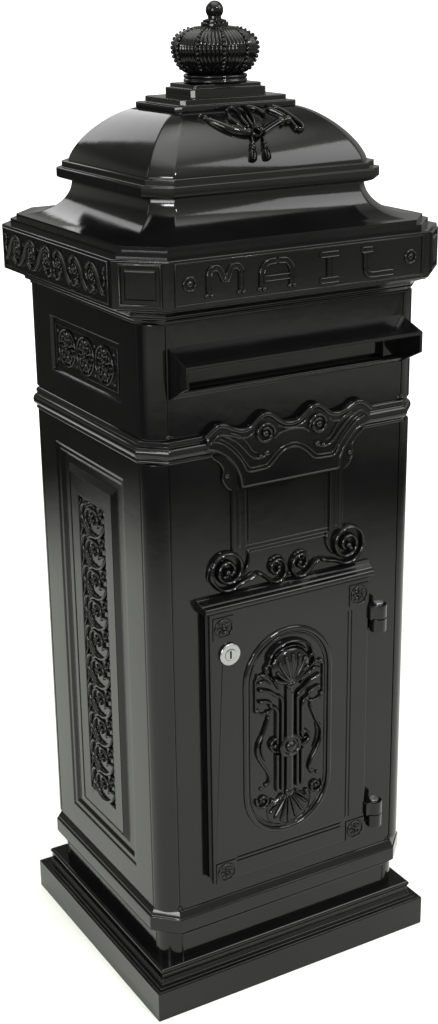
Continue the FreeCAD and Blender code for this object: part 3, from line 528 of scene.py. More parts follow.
COAT = black_coat()
BY_SLOT = {"coated_aluminium": COAT, "plated_steel": plated_steel(), "chromed_lock": chromed(),
           "rubber_seal": rubber()}


EDGE_EASE = 0.9 * MM
FINE_EDGE_EASE = 0.35 * MM
FINE_NODES = ("lock_barrel", "lock_plug", "lock_cam", "lock_cam_screw", "lock_nut", "hinge_pins", "flap_pin",
              "finial_ball", "finial_ring", "corner_blocks", "roof_nut", "roof_rod", "tie_rods",
              "tie_rod_nuts")
MELD = 0.02 * MM
BEVEL_ANGLE, SHARP_ANGLE = math.radians(32), math.radians(38)


def ease_edges(node, width):
    """Rounds the casting's edges a little, by modifiers, so that they catch the light."""
    if "custom_normal" in node.data.attributes:
        node.data.attributes.remove(node.data.attributes["custom_normal"])
    node.data.shade_smooth()
    weld = node.modifiers.new("weld", "WELD")
    weld.merge_threshold = MELD
    bevel = node.modifiers.new("bevel", "BEVEL")
    bevel.width = width
    bevel.segments = 2
    bevel.limit_method = "ANGLE"
    bevel.angle_limit = BEVEL_ANGLE
    split = node.modifiers.new("split", "EDGE_SPLIT")
    split.split_angle = SHARP_ANGLE
    normals = node.modifiers.new("normals", "WEIGHTED_NORMAL")
    normals.keep_sharp = True
    normals.weight = 80


def dress_cad_nodes():
    """Gives every carried-over CAD node the material of its slot and eased edges."""
    slots = {s["node"]: s["material_slot"] for s in frame["record"]["subparts"]}
    for name, node in frame["nodes"].items():
        node.data.materials.clear()
        node.data.materials.append(BY_SLOT[slots[name]])
        ease_edges(node, FINE_EDGE_EASE if name in FINE_NODES else EDGE_EASE)


# ---------------- apron over the middle band
APRON_AXIS_X = -2.0
APRON_PROUD = 7.2
APRON_BOTTOM = 573.0


def apron_outline():
    """The apron's edge, anticlockwise from its lower left corner."""
    side = [(57, APRON_BOTTOM), (58.5, 583), (64, 595), (74, 606.5), (86, 613), (94, 615)]
    crest = [(95, 628), (90, 633), (84, 636.5), (76, 637.5), (66, 632.5), (56, 629.5), (46, 631), (38, 637),
             (31, 641), (24, 640), (16, 634), (8, 629.5), (0, 628)]
    right = smooth_line(side, per_span=3) + smooth_line(crest, per_span=3)
    left = [Vector((-p.x, p.y)) for p in reversed(right[:-1])]
    return [tuple(p) for p in right + left]


def apron():
    """The flared plate with its rolled crest, swags and bead scrolls."""
    art = Relief(front_face(FRONT_Y, APRON_AXIS_X))
    shoulders = [(66, 571), (72, 576), (76, 584), (75, 593), (79, 601), (88, 609)]
    outer = [tuple(p) for p in smooth_line(shoulders, per_span=3)]
    art.plate(outer + [(88, 620), (-88, 620)] + flipped(outer)[::-1], 3.2, 1.0)
    top = APRON_PROUD
    art.plate(apron_outline(), top, 1.2)
    crest = [(97, 629), (91, 634), (84, 638.5), (76, 638.5), (66, 633.5), (56, 630.5), (46, 632.5), (38, 639),
             (31, 643), (23, 641.5), (15, 635.5), (8, 631), (0, 629.5)]
    art.stroke(through(crest), 5.6, 3.0, base=top - 1.6)
    second_crest = [(17, 630.6), (8, 626.6), (0, 625.4)]
    art.stroke(through(second_crest), 2.6, 1.8, base=top)
    side_crest = [(93, 622), (84, 630), (72, 628.5), (58, 624), (48, 625), (43, 628)]
    art.pair(side_crest, 2.6, 1.8, (6, 3), top)
    festoon = [(21, 617.5), (14, 622.5), (0, 624.5)]
    art.stroke(through(festoon), 3.2, 2.4, base=top)
    swag = [(78, 629), (66, 623), (56, 613.5), (48, 604.5), (40, 600.5), (32, 602), (28.5, 606)]
    art.pair(swag, 3.2, 2.6, (8, 2), top)
    inner_swag = [(72, 631), (60, 626.5), (52, 618.5), (45, 609), (38, 606)]
    art.pair(inner_swag, 2.6, 2.0, (8, 6), top)
    art.beads((29.5, 604.5), 3.6, 4.2, top)
    art.beads((36.5, 602.5), 2.4, 3.4, top)
    hem = [(89, 625), (77, 620.5), (65, 610), (57, 600), (51, 589.5), (40, 588.5), (28, 589.5), (22, 594),
           (15, 600.5), (8, 604.5), (0, 606)]
    art.stroke(through(hem), 2.6, 2.0, (8, 8), top)
    inner_hem = [(83, 627), (72, 621), (61, 610), (54, 600), (48, 592.5), (39, 592), (30, 593), (25, 597),
                 (17, 604), (8.5, 608.3), (0, 609.8)]
    art.stroke(through(inner_hem), 2.2, 1.6, (8, 8), top)
    side_roll = [(97, 618), (86, 615.5), (74, 609), (64, 597.5), (58.2, 585), (56.4, APRON_BOTTOM + 0.6)]
    art.pair(side_roll, 2.8, 2.0, base=top - 0.8)
    art.stroke([(-57, APRON_BOTTOM + 0.8), (57, APRON_BOTTOM + 0.8)], 2.4, 1.4, base=top - 0.4)
    art.pair(shoulders + [(88.5, 616)], 2.4, 1.8, (4, 4), 2.2)
    art.beads((72, 587), 3.0, 3.0, 3.0)
    volute = (31, 624.5)
    art.pair(spiral(volute, (11.0, 5.0), 200, -320, 30), 4.2, 3.8, (14, 3), top)
    art.beads(volute, 4.0, 4.6, top)
    art.piece("apron_over_band")


def pilasters():
    """Two reeded strips that hang from the apron, and the fine lines between them."""
    art = Relief(front_face(FRONT_Y, APRON_AXIS_X))
    art.bars((58, 506), (58, 576), 17, 3.4, (0, 0), section=CHANNEL)
    art.bars((58, 508), (58, 574), 4.5, 1.2, (2, 2), 1.6)
    art.bars((46, 512), (46, 572), 2.2, 1.2)
    for v, height in ((509, 1.2), (505, 1.5), (501, 1.2)):
        art.bar((-50, v), (50, v), 2.2, height)
    art.piece("apron_pilasters")


def drawn_in(points, centre, share):
    """A line drawn in towards a centre; its first two points keep their place."""
    near = [(centre[0] + (u - centre[0]) * share, centre[1] + (v - centre[1]) * share) for u, v in points[2:]]
    return points[:2] + near


def bottom_volutes():
    """The pair of large volutes under the pilasters with the smaller pair that meets in the middle."""
    art = Relief(front_face(FRONT_Y, APRON_AXIS_X))
    big = [(38.5, 478), (46, 475), (55, 470.5), (66, 465.5), (78, 466), (88, 473), (93.5, 485), (91, 499),
           (81, 508), (68, 509), (57.5, 502), (54, 491), (58, 479.5), (68, 474), (79, 477), (84, 486),
           (80.5, 496), (71, 499), (64, 492.5), (65.5, 485), (71.5, 482.5)]
    art.pair(drawn_in(big, (72.5, 482), 0.87), 5.2, 6.6, (4, 5))
    art.pair(spiral((72.5, 484), (22.2, 20.0), -10, 140, 16), 2.6, 3.2, (16, 10))
    art.beads((72.5, 486.5), 4.0, 7.6)
    art.beads((76, 482), 2.8, 6.0)
    small = [(38.5, 478), (32, 475.5), (25, 468), (16, 463), (6.5, 466), (2.6, 475), (5.5, 485), (13, 489.5),
             (20.5, 486), (22, 478.5), (17, 473.5), (11.5, 476.5), (12.5, 481.5)]
    art.pair(drawn_in(small, (14, 474), 0.9), 4.8, 5.8, (4, 4))
    art.beads((12.8, 480), 3.0, 6.8)
    art.beads((17, 483.5), 2.0, 5.0)
    art.pair([(48, 506), (46.5, 498), (48, 490), (52, 483), (57, 479)], 3.4, 3.8, (10, 6))
    art.pair([(23, 487), (18.5, 490.5), (12, 491.2), (6, 488)], 2.4, 3.2, (4, 4))
    art.bead((0, 470), 2.8, 5.0)
    art.piece("apron_volutes")


# ---------------- door
DOOR_AXIS_X = -9.5
RIM_Z = (180.0, 417.5)
RIM_HALF = 54.5
BLOCK_HALF = 12.0


def stadium(half_width, low, high, steps=14):
    """A tall outline with half-round ends, anticlockwise."""
    top = arc((0, high - half_width), half_width, 0, 180, steps)
    bottom = arc((0, low + half_width), half_width, 180, 360, steps)
    return top + bottom


def medallion_rim():
    """Rolled rim round the medallion with a fine bead inside it. Stands for the plain CAD rim."""
    art = Relief(front_face(DOOR_Y, DOOR_AXIS_X))
    for inset, width, height in ((2.9, 5.8, 3.0), (8.4, 2.4, 1.3)):
        outline = stadium(RIM_HALF - inset, RIM_Z[0] + inset, RIM_Z[1] - inset)
        art.stroke(outline, width, height, closed=True, step=2.5, curved=False)
    art.piece("medallion_rolled_rim", "door", replaces=["medallion_rim"])


def medallion():
    """Reeded shaft with a boss, capital, ribbons, an upper shell and a lower fan."""
    art = Relief(front_face(DOOR_Y, DOOR_AXIS_X + 1.0))
    art.bar((0, 229), (0, 352), 10.5, 5.6, (3, 3))
    for offset, bend, far in ((9.4, 341, 355), (15.4, 330, 341.5)):
        art.bars((offset, 231), (offset, 276), 4.6, 4.6, (2, 1))
        rib = [(offset, 288), (offset, 300), (offset, 318), (offset, bend - 6), (offset + 2.2, bend),
               (offset + 8, bend + 3.2), (25, (bend + far) / 2 + 2.5), (38, far)]
        art.pair(rib, 4.6, 4.6, (1, 2))
    art.bars((41.5, 331), (41.5, 367), 3.0, 3.4, (1.5, 1.5))
    art.pair([(41.5, 366), (33, 371), (25, 367), (18, 358), (13, 349)], 3.2, 3.6, (2, 4))
    art.pair([(40, 361), (30, 363.5), (22, 357)], 2.4, 2.6, (3, 4))
    art.pair([(41, 331), (33, 326.5), (25, 327.5), (20, 331)], 2.8, 3.0, (2, 3))
    for bud in ((38, 369.5), (30.5, 369), (40, 331.5), (26.5, 326.5)):
        art.beads(bud, 3.2, 4.6)
    ribbon = [(25, 324), (28, 315), (33, 303), (39, 292), (39.5, 281), (34, 269), (27.5, 258), (24.5, 249),
              (27, 243)]
    art.pair(ribbon, 3.6, 4.0, (6, 3))
    art.pair([(32, 300), (34.5, 290), (33.5, 279), (29, 270)], 2.2, 2.6, (8, 8))
    art.beads((28.5, 242.5), 3.0, 3.8)
    art.beads((35, 239.5), 2.2, 3.0)
    art.pair(spiral((33, 225), (8.5, 3.0), 30, -400, 22), 3.2, 4.0, (4, 2))
    art.beads((33, 225), 2.6, 4.4)
    art.pair([(25, 219), (19, 217), (13, 221), (8, 227)], 3.4, 4.2, (3, 4))
    art.beads((21.5, 221), 3.2, 4.6)
    art.pair([(12, 292), (19, 294), (24, 288), (20.5, 281), (14, 279)], 4.0, 5.0, (6, 6))
    art.pair([(15, 286.5), (21, 287)], 3.0, 4.6, (3, 2))
    art.boss((0, 282), [(13.5, 0), (13.2, 4.6), (11.5, 6.2), (9.8, 6.2), (8.4, 4.4), (6.6, 4.2),
                           (5.6, 6.0), (4.4, 7.8), (2.4, 8.8), (0, 9.0)], 28)
    shell(art)
    fan(art)
    art.piece("door_medallion", "door")


def shell(art):
    """Scalloped shell that leans out over the capital, with a rolled lip and a hollow above it."""
    art.boss((0, 374), [(24, 0), (23.4, 3.0), (21, 5.4), (16, 7.2), (9, 8.4), (0, 8.8)], 32, squash=0.86)
    foot = (0, 356)
    for k in range(9):
        u, v = polar((0, 0), 34 if 2 <= k <= 6 else 29, 18 + 18 * k)
        ray = [foot, (foot[0] + u * 0.5, foot[1] + v * 0.5), (foot[0] + u * 0.82, foot[1] + v)]
        art.stroke(ray, 5.2, 5.2, (22, 2.6), 5.0)
    art.stroke(through([(-27, 380), (-24, 391), (-14, 399), (0, 402)]), 3.6, 6.4, (8, 8))
    art.stroke(through([(-20, 388), (-12, 394), (0, 396.5)]), 2.4, 4.6, (6, 6))
    art.pair([(22, 366), (28, 369), (30, 376), (26, 381), (22.5, 377)], 3.4, 4.8, (5, 2))
    art.pair([(21, 365), (13, 357.5), (0, 354.5)], 3.2, 5.4, (4, 3), 1.0)
    art.bead((0, 352), 5.6, 7.0)
    art.bead((0, 343.5), 3.6, 6.4)


def fan(art):
    """Spread fan of nine leaves at the foot of the shaft."""
    root = (0, 227)
    for k in range(9):
        a = 200 + 17.5 * k
        u, v = polar((0, 0), 37 - 1.1 * abs(k - 4), a)
        leaf = [polar(root, 5, a), (root[0] + u * 0.9, root[1] + v)]
        art.stroke(leaf, 5.0, 3.4, (26, 2.6), section=RIDGE)
    art.stroke(through([(-27, 214), (-25, 200), (-14, 189.5), (0, 186.5)]), 1.8, 1.4, (4, 4))
    art.bead(root, 6.0, 5.4)


def door_rosettes():
    """A ring of petals on each of the four corner blocks."""
    art = Relief(front_face(edge_mm("corner_blocks", 0, 1)))
    low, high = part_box("corner_blocks")
    for u in (low.x / MM + BLOCK_HALF, high.x / MM - BLOCK_HALF):
        for v in (low.z / MM + BLOCK_HALF, high.z / MM - BLOCK_HALF):
            art.hoop((u, v), 9.8, 2.0, 1.6)
            art.flower((u, v), 8, 7.8, 3.4, 1.9)
            art.hoop((u, v), 3.4, 1.2, 2.2)
    art.piece("door_rosettes", "door")


# ---------------- frieze
FRIEZE_LOW, FRIEZE_HIGH = 764.5, 802.5
FRIEZE_CUT = 39.0
FRONT_BORDER_HALF, SIDE_BORDER_HALF, REAR_BORDER_HALF = 137.5, 118.5, 139.0
CORNER_BORDER_HALF = 19.5
CORNER_FIELD_HALF = 14.8
LETTER_LOW, LETTER_HIGH = 771.0, 795.5
M_AXIS, A_AXIS, I_AXIS, L_STEM = -86.0, -30.5, 28.0, 70.0
M_HALF, A_HALF = 17.0, 16.5


def border(art, half_width, low, high, width=2.0, height=1.5):
    corners = [(-half_width, low), (half_width, low), (half_width, high), (-half_width, high)]
    art.frame_line(corners, width, height)


def frieze_word(art):
    """The plain word MAIL in wide channelled strokes. M and A are each an arch and its mirror image."""
    low, high = LETTER_LOW, LETTER_HIGH
    m_arch = [(-M_HALF, low), (-M_HALF, low + 8), (-M_HALF, high - 6), (-15, high - 1.6), (-11, high),
              (-6.5, high - 1.6), (-2, high - 10), (0, high - 14)]
    a_arch = [(-A_HALF, low), (-A_HALF, low + 8), (-16, high - 8), (-11.5, high - 1.5), (-5.5, high),
              (0, high)]
    l_foot = [(0, high), (0, low + 9), (1.5, low + 2), (7, low), (20, low), (33, low)]
    letters = ((M_AXIS, (m_arch, flipped(m_arch))),
               (A_AXIS, (a_arch, flipped(a_arch), [(-14.5, low + 9), (14.5, low + 9)])),
               (I_AXIS, ([(0, low), (0, high)], [(-11, high), (11, high)], [(-11, low), (11, low)])),
               (L_STEM, (l_foot, [(-6, high), (8, high)])))
    for axis, lines in letters:
        for line in lines:
            art.stroke([(axis + u, v) for u, v in line], 6.4, 2.4, (2.2, 2.2), section=CHANNEL, step=2.0)
    for foot in (M_AXIS - M_HALF, M_AXIS + M_HALF, A_AXIS - A_HALF, A_AXIS + A_HALF):
        for u in (foot - 2.6, foot + 2.6):
            art.bead((u, low - 0.4), 2.4, 2.6)


def frieze_front():
    art = Relief(front_face(FRIEZE_Y, -1.5))
    border(art, FRONT_BORDER_HALF, FRIEZE_LOW, FRIEZE_HIGH)
    frieze_word(art)
    art.hoops((123, 783.5), 6.2, 2.6, 2.0)
    art.beads((123, 783.5), 3.4, 2.4)
    art.piece("frieze_front_relief")


SCROLL_Z = 784.0
SCROLL_PITCH = 36.0
SCROLL_FIRST = 13.5
SCROLL_EYES = 3


def moved(points, u, v):
    return [(u + a, v + b) for a, b in points]


def running_scroll(art):
    """Running scroll, mirrored about the middle: a band sweeps over one eye and under the next."""
    arch = [(-6.5, -3.5), (-8.6, 3), (-7, 9.5), (-0.5, 13), (7.5, 10.5), (14.5, 2.5), (20.5, -7)]
    sweep = [(28, -13), (36, -13.4), (42.5, -9)]
    stub = [(26, -12.5)]
    crescent = [(7.5, 0), (6.5, -5), (1.5, -7.4), (-3.5, -6.4)]
    for k in range(SCROLL_EYES):
        eye = SCROLL_FIRST + SCROLL_PITCH * k
        last = k == SCROLL_EYES - 1
        band = moved(arch + (stub if last else sweep), eye, SCROLL_Z)
        art.pair(band, 5.0, 2.8, (3, 3), section=REEDED)
        if not last:
            art.beads(band[-1], 2.7, 3.8)
        centre = (eye + 1, SCROLL_Z + 2.5)
        art.hoops(centre, 4.5, 1.8, 2.4)
        art.beads(centre, 2.3, 3.2, sides=10)
        art.pair(moved(crescent, eye, SCROLL_Z), 1.9, 2.0, (4, 3))
    tail = [(4.5, -5), (3.4, -10.5), (8.5, -13.6), (14.5, -12), (17, -7.5)]
    art.pair(moved(tail, 0, SCROLL_Z), 3.4, 2.6, (2, 2))
    art.beads((16.6, SCROLL_Z - 7.4), 2.5, 3.2)
    end = [(114, 14), (110.5, 9), (113, 2), (110.5, -5)]
    art.pair(moved(end, 0, SCROLL_Z), 2.4, 2.2, (2, 3))


def frieze_scrolls():
    low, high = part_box("frieze")
    for name, face, half in (("left", left_face(low.x / MM), SIDE_BORDER_HALF),
                             ("right", right_face(high.x / MM), SIDE_BORDER_HALF),
                             ("rear", rear_face(high.y / MM), REAR_BORDER_HALF)):
        art = Relief(face)
        border(art, half, FRIEZE_LOW, FRIEZE_HIGH)
        running_scroll(art)
        art.piece("frieze_scroll_" + name)


def frieze_corners():
    """Framed raised panels on the four chamfers of the frieze."""
    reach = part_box("frieze")[1] / MM
    half, foot, top = CORNER_FIELD_HALF, FRIEZE_LOW + 5.4, FRIEZE_HIGH - 5.4
    for name, sx, sy in (("front_left", -1, -1), ("front_right", 1, -1), ("rear_left", -1, 1),
                         ("rear_right", 1, 1)):
        middle = ((reach.x - FRIEZE_CUT / 2) * sx, (reach.y - FRIEZE_CUT / 2) * sy, 0)
        art = Relief(FlatFace(middle, (sx, sy, 0)))
        border(art, CORNER_BORDER_HALF, FRIEZE_LOW + 0.5, FRIEZE_HIGH - 0.5, 3.0, 2.4)
        art.plate([(-half, foot), (half, foot), (half, top), (-half, top)], 2.2, 1.4)
        art.piece("frieze_corner_" + name)


# ---------------- side panels
STRIP_Z = (190.0, 534.0)
STRIP_SUNK = 3.4
VINE_TURNS = 10
VINE_PITCH = (STRIP_Z[1] - STRIP_Z[0]) / VINE_TURNS


def vine_turn(art, top):
    """One turn of the scrolling vine: main leaf, inner curl, flower, bud and small leaves."""
    lines = (
        ([(-13, -3), (-21, -6), (-25.5, -14), (-23.5, -23), (-15, -31), (-2, -35.5), (12, -33), (22, -26),
          (28, -15)], 4.6, 3.4, (7, 12)),
        ([(-8, -31), (-15.5, -24), (-16.5, -15), (-10, -8), (0, -6.5), (9, -10.5), (12.5, -18), (9, -25)],
         3.2, 2.8, (8, 5)),
        ([(27, -14), (30, -7), (27, -0.5), (20.5, 1.5), (15.5, -3), (17, -9), (22.5, -9.5)],
         3.2, 3.0, (6, 2)),
        ([(12, -22), (19, -18), (24, -19.5)], 3.0, 2.6, (5, 5)),
        ([(-28, -29), (-24.5, -33), (-26.5, -39), (-29, -43)], 3.0, 2.8, (4, 5)),
        ([(6, -4), (1, 0.5), (-6, 0), (-9, -3.5)], 2.8, 2.6, (3, 3)),
        ([(16, -30.5), (21, -33), (27.5, -31)], 2.8, 2.6, (3, 5)),
        ([(-27.5, -3), (-29, -9), (-28, -15)], 2.2, 2.2, (4, 4)))
    for points, width, height, taper in lines:
        art.stroke(moved(points, 0, top), width, height, taper, -STRIP_SUNK)
    art.flower((-2, top - 17.5), 6, 7.0, 3.2, 3.0, -STRIP_SUNK)
    art.bead((21.5, top - 4.5), 2.5, 3.4, -STRIP_SUNK, 10)
    art.bead((-13.5, top - 3.6), 2.4, 3.4, -STRIP_SUNK, 10)


def panel_faces(storey):
    """The outer faces of the left and the right panel, lower or upper."""
    return (("left", left_face(edge_mm(storey + "_left_panel", 0, 0))),
            ("right", right_face(edge_mm(storey + "_right_panel", 1, 0))))


def side_vines():
    for name, face in panel_faces("lower"):
        art = Relief(face)
        for k in range(VINE_TURNS):
            vine_turn(art, STRIP_Z[1] - 1.5 - k * VINE_PITCH)
        art.piece("side_vine_" + name)


ROUNDEL_PITCH = 42.5
ROUNDEL_Z = 687.5
ROUNDEL_SUNK = 3.7
ROUNDEL_R = 19.2
ROUNDEL_FRAME_HALF = (70.5, 21.5)


def roundel(art, centre):
    """A ring round a flower with four leafy scrolls."""
    base = -ROUNDEL_SUNK
    art.hoop(centre, ROUNDEL_R, 2.0, 2.6, base)
    art.flower(centre, 6, 6.2, 3.0, 3.2, base, 30)
    for a in (45, 135, 225, 315):
        spot = polar(centre, 11.0, a)
        art.stroke(spiral(spot, (5.4, 1.8), a + 150, a + 550, 16), 2.4, 2.8, (3, 1.5), base)
        leaf = [polar(centre, 6.5, a + 45), polar(centre, 17.0, a + 45)]
        art.stroke(leaf, 4.0, 3.0, (4, 4), base, RIDGE)
        for lean in (25, 65):
            tip = [polar(centre, 12.5, a + lean), polar(centre, 17.8, a + lean)]
            art.stroke(tip, 2.8, 2.6, (2, 2), base)


def side_roundels():
    """Three roundels in a fine frame on each upper side panel, with beads between them."""
    half, rise = ROUNDEL_FRAME_HALF
    for name, face in panel_faces("upper"):
        art = Relief(face)
        corners = [(-half, ROUNDEL_Z - rise), (half, ROUNDEL_Z - rise), (half, ROUNDEL_Z + rise),
                   (-half, ROUNDEL_Z + rise)]
        art.frame_line(corners, 2.0, 1.6, -ROUNDEL_SUNK)
        for k in (-1, 0, 1):
            roundel(art, (k * ROUNDEL_PITCH, ROUNDEL_Z))
        for u in (21.2, 63.6):
            for v in (ROUNDEL_Z - 15, ROUNDEL_Z + 15):
                art.beads((u, v), 2.2, 2.6, -ROUNDEL_SUNK, 10)
        art.piece("side_roundels_" + name)


# ---------------- dome, skirt and finial
DOME_FOOT = (247.2, 208.0, 18.4, 869.0)
DOME_HEAD = (137.8, 91.0, 8.0, 921.0)
SKIRT_FOOT = (327.0, 287.0, 28.0, 815.6)
SKIRT_NECK = (243.0, 204.0, 18.0, 850.0)


def soft_octagon(width, depth, cut, z, soft=1.6):
    """A ring round a rectangle with cut corners, each corner eased by three points."""
    x, y = width / 2, depth / 2
    right = [(x - cut, -y), (x, -y + cut), (x, y - cut), (x - cut, y)]
    corners = right + [(-u, -v) for u, v in right]
    ring = []
    for i, corner in enumerate(corners):
        here = Vector(corner)
        before = (Vector(corners[i - 1]) - here).normalized() * soft
        after = (Vector(corners[(i + 1) % 8]) - here).normalized() * soft
        for spot in (here + before, here + (before + after) * 0.2, here + after):
            ring.append(Vector((spot.x, spot.y, z)) * MM)
    return ring


def roof_skin(name, node, foot, head, steps, plan_share, height_share):
    """A shell's outer skin from foot to head, for a CAD node. Both shares follow a quarter turn."""
    rings = []
    for i in range(steps + 1):
        a = math.pi / 2 * i / steps
        plan = [p + (q - p) * plan_share(a) for p, q in zip(foot[:3], head[:3])]
        rings.append(soft_octagon(*plan, foot[3] + (head[3] - foot[3]) * height_share(a)))
    mesh = bmesh.new()
    join_and_cap(mesh, rings)
    finish_piece(mesh, name, "letterbox", 30, [node])


def roof_skins():
    """The dome's bulging faces, and the hollow-curved skirt between cornice and eave."""
    roof_skin("dome_smooth", "dome", DOME_FOOT, DOME_HEAD, 48,
              lambda a: 1 - max(math.cos(a), 0.0) ** DomeFace.SWELL, lambda a: math.sin(a) ** DomeFace.SWELL)
    roof_skin("roof_skirt_smooth", "roof_skirt", SKIRT_FOOT, SKIRT_NECK, 32,
              math.sin, lambda a: 1 - math.cos(a))


def dome_bow():
    """Crossed horns tied with a looped cord that ends in two tassels, on the front of the dome."""
    foot = (-edge_mm("dome", 0, 1), edge_mm("dome", 0, 2))
    top = (-edge_mm("stepped_cap", 0, 1), edge_mm("dome", 1, 2))
    art = Relief(DomeFace(foot, top, -6.0))
    art.stroke([(-44, 66), (-34, 54), (-22, 44), (-4, 38)], 7.5, 6.0, (30, 4))
    art.stroke([(-24, 52), (-15, 45), (-6, 40)], 4.6, 5.4, (14, 4))
    for k in range(4):
        art.bead((-45 + 3.4 * k, 69 - 4.0 * k), 2.6 + 0.2 * k, 4.0)
    art.stroke([(6, 38), (18, 44), (31, 50), (46, 55)], 7.0, 6.0, (3, 2), section=REEDED)
    art.bead((35, 51), 5.0, 7.0)
    art.bead((44, 53), 5.2, 6.4)
    horn = [(37, 79), (45, 69), (51, 56), (56, 44), (53, 39), (48, 42), (45, 54), (39, 64), (31, 74)]
    art.stroke(horn, 4.2, 4.6, (6, 4))
    art.stroke([(41, 76), (48, 64), (53, 50)], 2.4, 3.6, (8, 6))
    loops = ([(-7, 44), (-14, 52), (-17, 63), (-13, 74), (-5, 79), (-3, 70), (-5, 58), (-3, 45)],
             [(1, 45), (1, 58), (3, 70), (0, 79)],
             [(7, 44), (16, 52), (22, 62), (20, 73), (12, 79), (9, 70), (7, 58), (3, 45)])
    for line in loops:
        art.stroke(line, 3.6, 4.4, (3, 4))
    art.hoop((0, 38), 4.6, 3.2, 6.4)
    art.beads((7, 40.5), 3.8, 6.6)
    for start, end in ((Vector((-6, 34)), Vector((-13.5, 9))), (Vector((6, 34)), Vector((2.5, 9)))):
        art.stroke([start, start.lerp(end, 0.3), start.lerp(end, 0.52)], 3.2, 4.2, (2, 2))
        art.bead(start.lerp(end, 0.3), 2.9, 5.2)
        art.bead(start.lerp(end, 0.47), 3.4, 6.0)
        tassel = [start.lerp(end, 0.5), start.lerp(end, 0.75), end]
        art.stroke(tassel, 7.0, 5.4, (6, 2), section=REEDED)
    art.piece("dome_bow")


CROWN_FOOT, CROWN_TOP = 952.4, 997.4
CROWN_WIDEST_Z, CROWN_WIDEST_R = 977.6, 41.7
CROWN_CORE_R = 10.0
CROWN_DROP = 30.0
CROWN_RISE = CROWN_TOP - CROWN_WIDEST_Z
CROWN_ARCHES = 10
RIBS_PER_BAY = 6
RIB_DEPTH = 1.3
LEAVES = 20
LEAF_FOOT = 953.5
PEARLS_FOOT = 957.5
PEARL_SPACING = 4.3
NECK_PEARLS_R, NECK_PEARLS_Z = 12.4, 999.4


def crown_radius(z):
    """Outline of the bulbous crown: two quarter ellipses that meet on its widest line."""
    reach = CROWN_RISE if z > CROWN_WIDEST_Z else CROWN_DROP
    t = (z - CROWN_WIDEST_Z) / reach
    return CROWN_CORE_R + (CROWN_WIDEST_R - CROWN_CORE_R) * math.sqrt(max(0.0, 1 - t * t))


def crown_heights():
    """Heights of the crown's rings, close together where its outline turns."""
    start = math.asin((CROWN_FOOT - CROWN_WIDEST_Z) / CROWN_DROP)
    swell = [CROWN_WIDEST_Z + CROWN_DROP * math.sin(start * (1 - i / 12)) for i in range(12)]
    dome = [CROWN_WIDEST_Z + CROWN_RISE * math.sin(math.pi / 2 * i / 14) for i in range(15)]
    return swell + dome


def crown():
    """Ribbed bulb between ten arches. Stands for the plain CAD crown."""
    art = Relief(RoundFace(crown_radius))
    ribs = CROWN_ARCHES * RIBS_PER_BAY
    sides = ribs * 8
    rings = []
    for z in crown_heights():
        strength = min(1.0, max(0.0, (z - CROWN_FOOT) / 4.0)) * min(1.0, max(0.15, (CROWN_TOP - z) / 5.0))
        ring = []
        for k in range(sides):
            wave = abs(math.sin(math.pi * ribs * k / sides))
            ring.append((360 * k / sides, z, -RIB_DEPTH * strength * (1 - wave)))
        rings.append(ring)
    join_and_cap(art.mesh, art.placed(rings))
    art.piece("finial_ribbed_crown", smooth_angle=60, replaces=["finial_crown"])


def sphere(mesh, centre, radius, rings=6, sides=10):
    """A small closed ball, in mm."""
    top, bottom = [mesh.verts.new((Vector(centre) + UP * rise) * MM) for rise in (radius, -radius)]
    rows = []
    for i in range(1, rings):
        reach, rise = radius * math.sin(math.pi * i / rings), radius * math.cos(math.pi * i / rings)
        rows.append([mesh.verts.new(Vector((*polar(centre, reach, 360 * k / sides), centre[2] + rise)) * MM)
                     for k in range(sides)])
    for k in range(sides):
        mesh.faces.new((top, rows[0][k - 1], rows[0][k]))
        mesh.faces.new((bottom, rows[-1][k], rows[-1][k - 1]))
        for a, b in zip(rows, rows[1:]):
            mesh.faces.new((a[k - 1], b[k - 1], b[k], a[k]))


def crown_pearls():
    """Rows of pearls up each arch and round the neck, which get smaller towards the top."""
    face = RoundFace(crown_radius)
    art = Relief(face)
    steps = 399
    spots = []
    travel = 0.0
    last = None
    for i in range(steps + 1):
        z = PEARLS_FOOT + (CROWN_TOP - 2.5 - PEARLS_FOOT) * i / steps
        point = Vector((crown_radius(z), z))
        travel += 0.0 if last is None else (point - last).length
        last = point
        if travel >= PEARL_SPACING * len(spots):
            spots.append((z, 2.1 if z < 990 else 1.5))
    for arch in range(CROWN_ARCHES):
        angle = 360 * (arch + 0.5) / CROWN_ARCHES
        for z, size in spots:
            sphere(art.mesh, face(angle, z, 0.5) / MM, size)
    for k in range(18):
        sphere(art.mesh, (*polar((0, 0), NECK_PEARLS_R, 20 * k), NECK_PEARLS_Z), 1.5, 5, 8)
    art.piece("finial_pearls")


def crown_leaves():
    """A ring of upright pointed leaves round the crown's foot, every other one a little shorter."""
    art = Relief(RoundFace(crown_radius))
    step = 360 / LEAVES
    for k in range(LEAVES):
        middle = (k + 0.5) * step
        tip = 962.5 if k % 2 == 0 else 960.5
        for foot in (middle - 0.48 * step, middle + 0.48 * step):
            edge = [(foot, LEAF_FOOT), ((foot + middle) / 2, (LEAF_FOOT + tip) / 2 + 1.2), (middle, tip)]
            art.stroke(edge, 2.2, 1.6, (0.8, 0.8), step=2.0)
        art.bead((middle, LEAF_FOOT + 2), 1.9, 1.4)
    art.piece("finial_leaf_ring")


# ---------------- small things
COLUMN_BEADS_HALF = 135.6


def column_beads():
    """Two small beads beside each corner column, at the foot of the lower body and of the upper body."""
    for name, face in (("front", front_face(FRONT_Y)), ("rear", rear_face(-FRONT_Y))):
        art = Relief(face)
        for v in (117.5, 635.0):
            art.beads((COLUMN_BEADS_HALF, v), 2.6, 2.2)
            art.beads((COLUMN_BEADS_HALF - 4.2, v - 0.8), 1.7, 1.5)
        art.piece("column_beads_" + name)


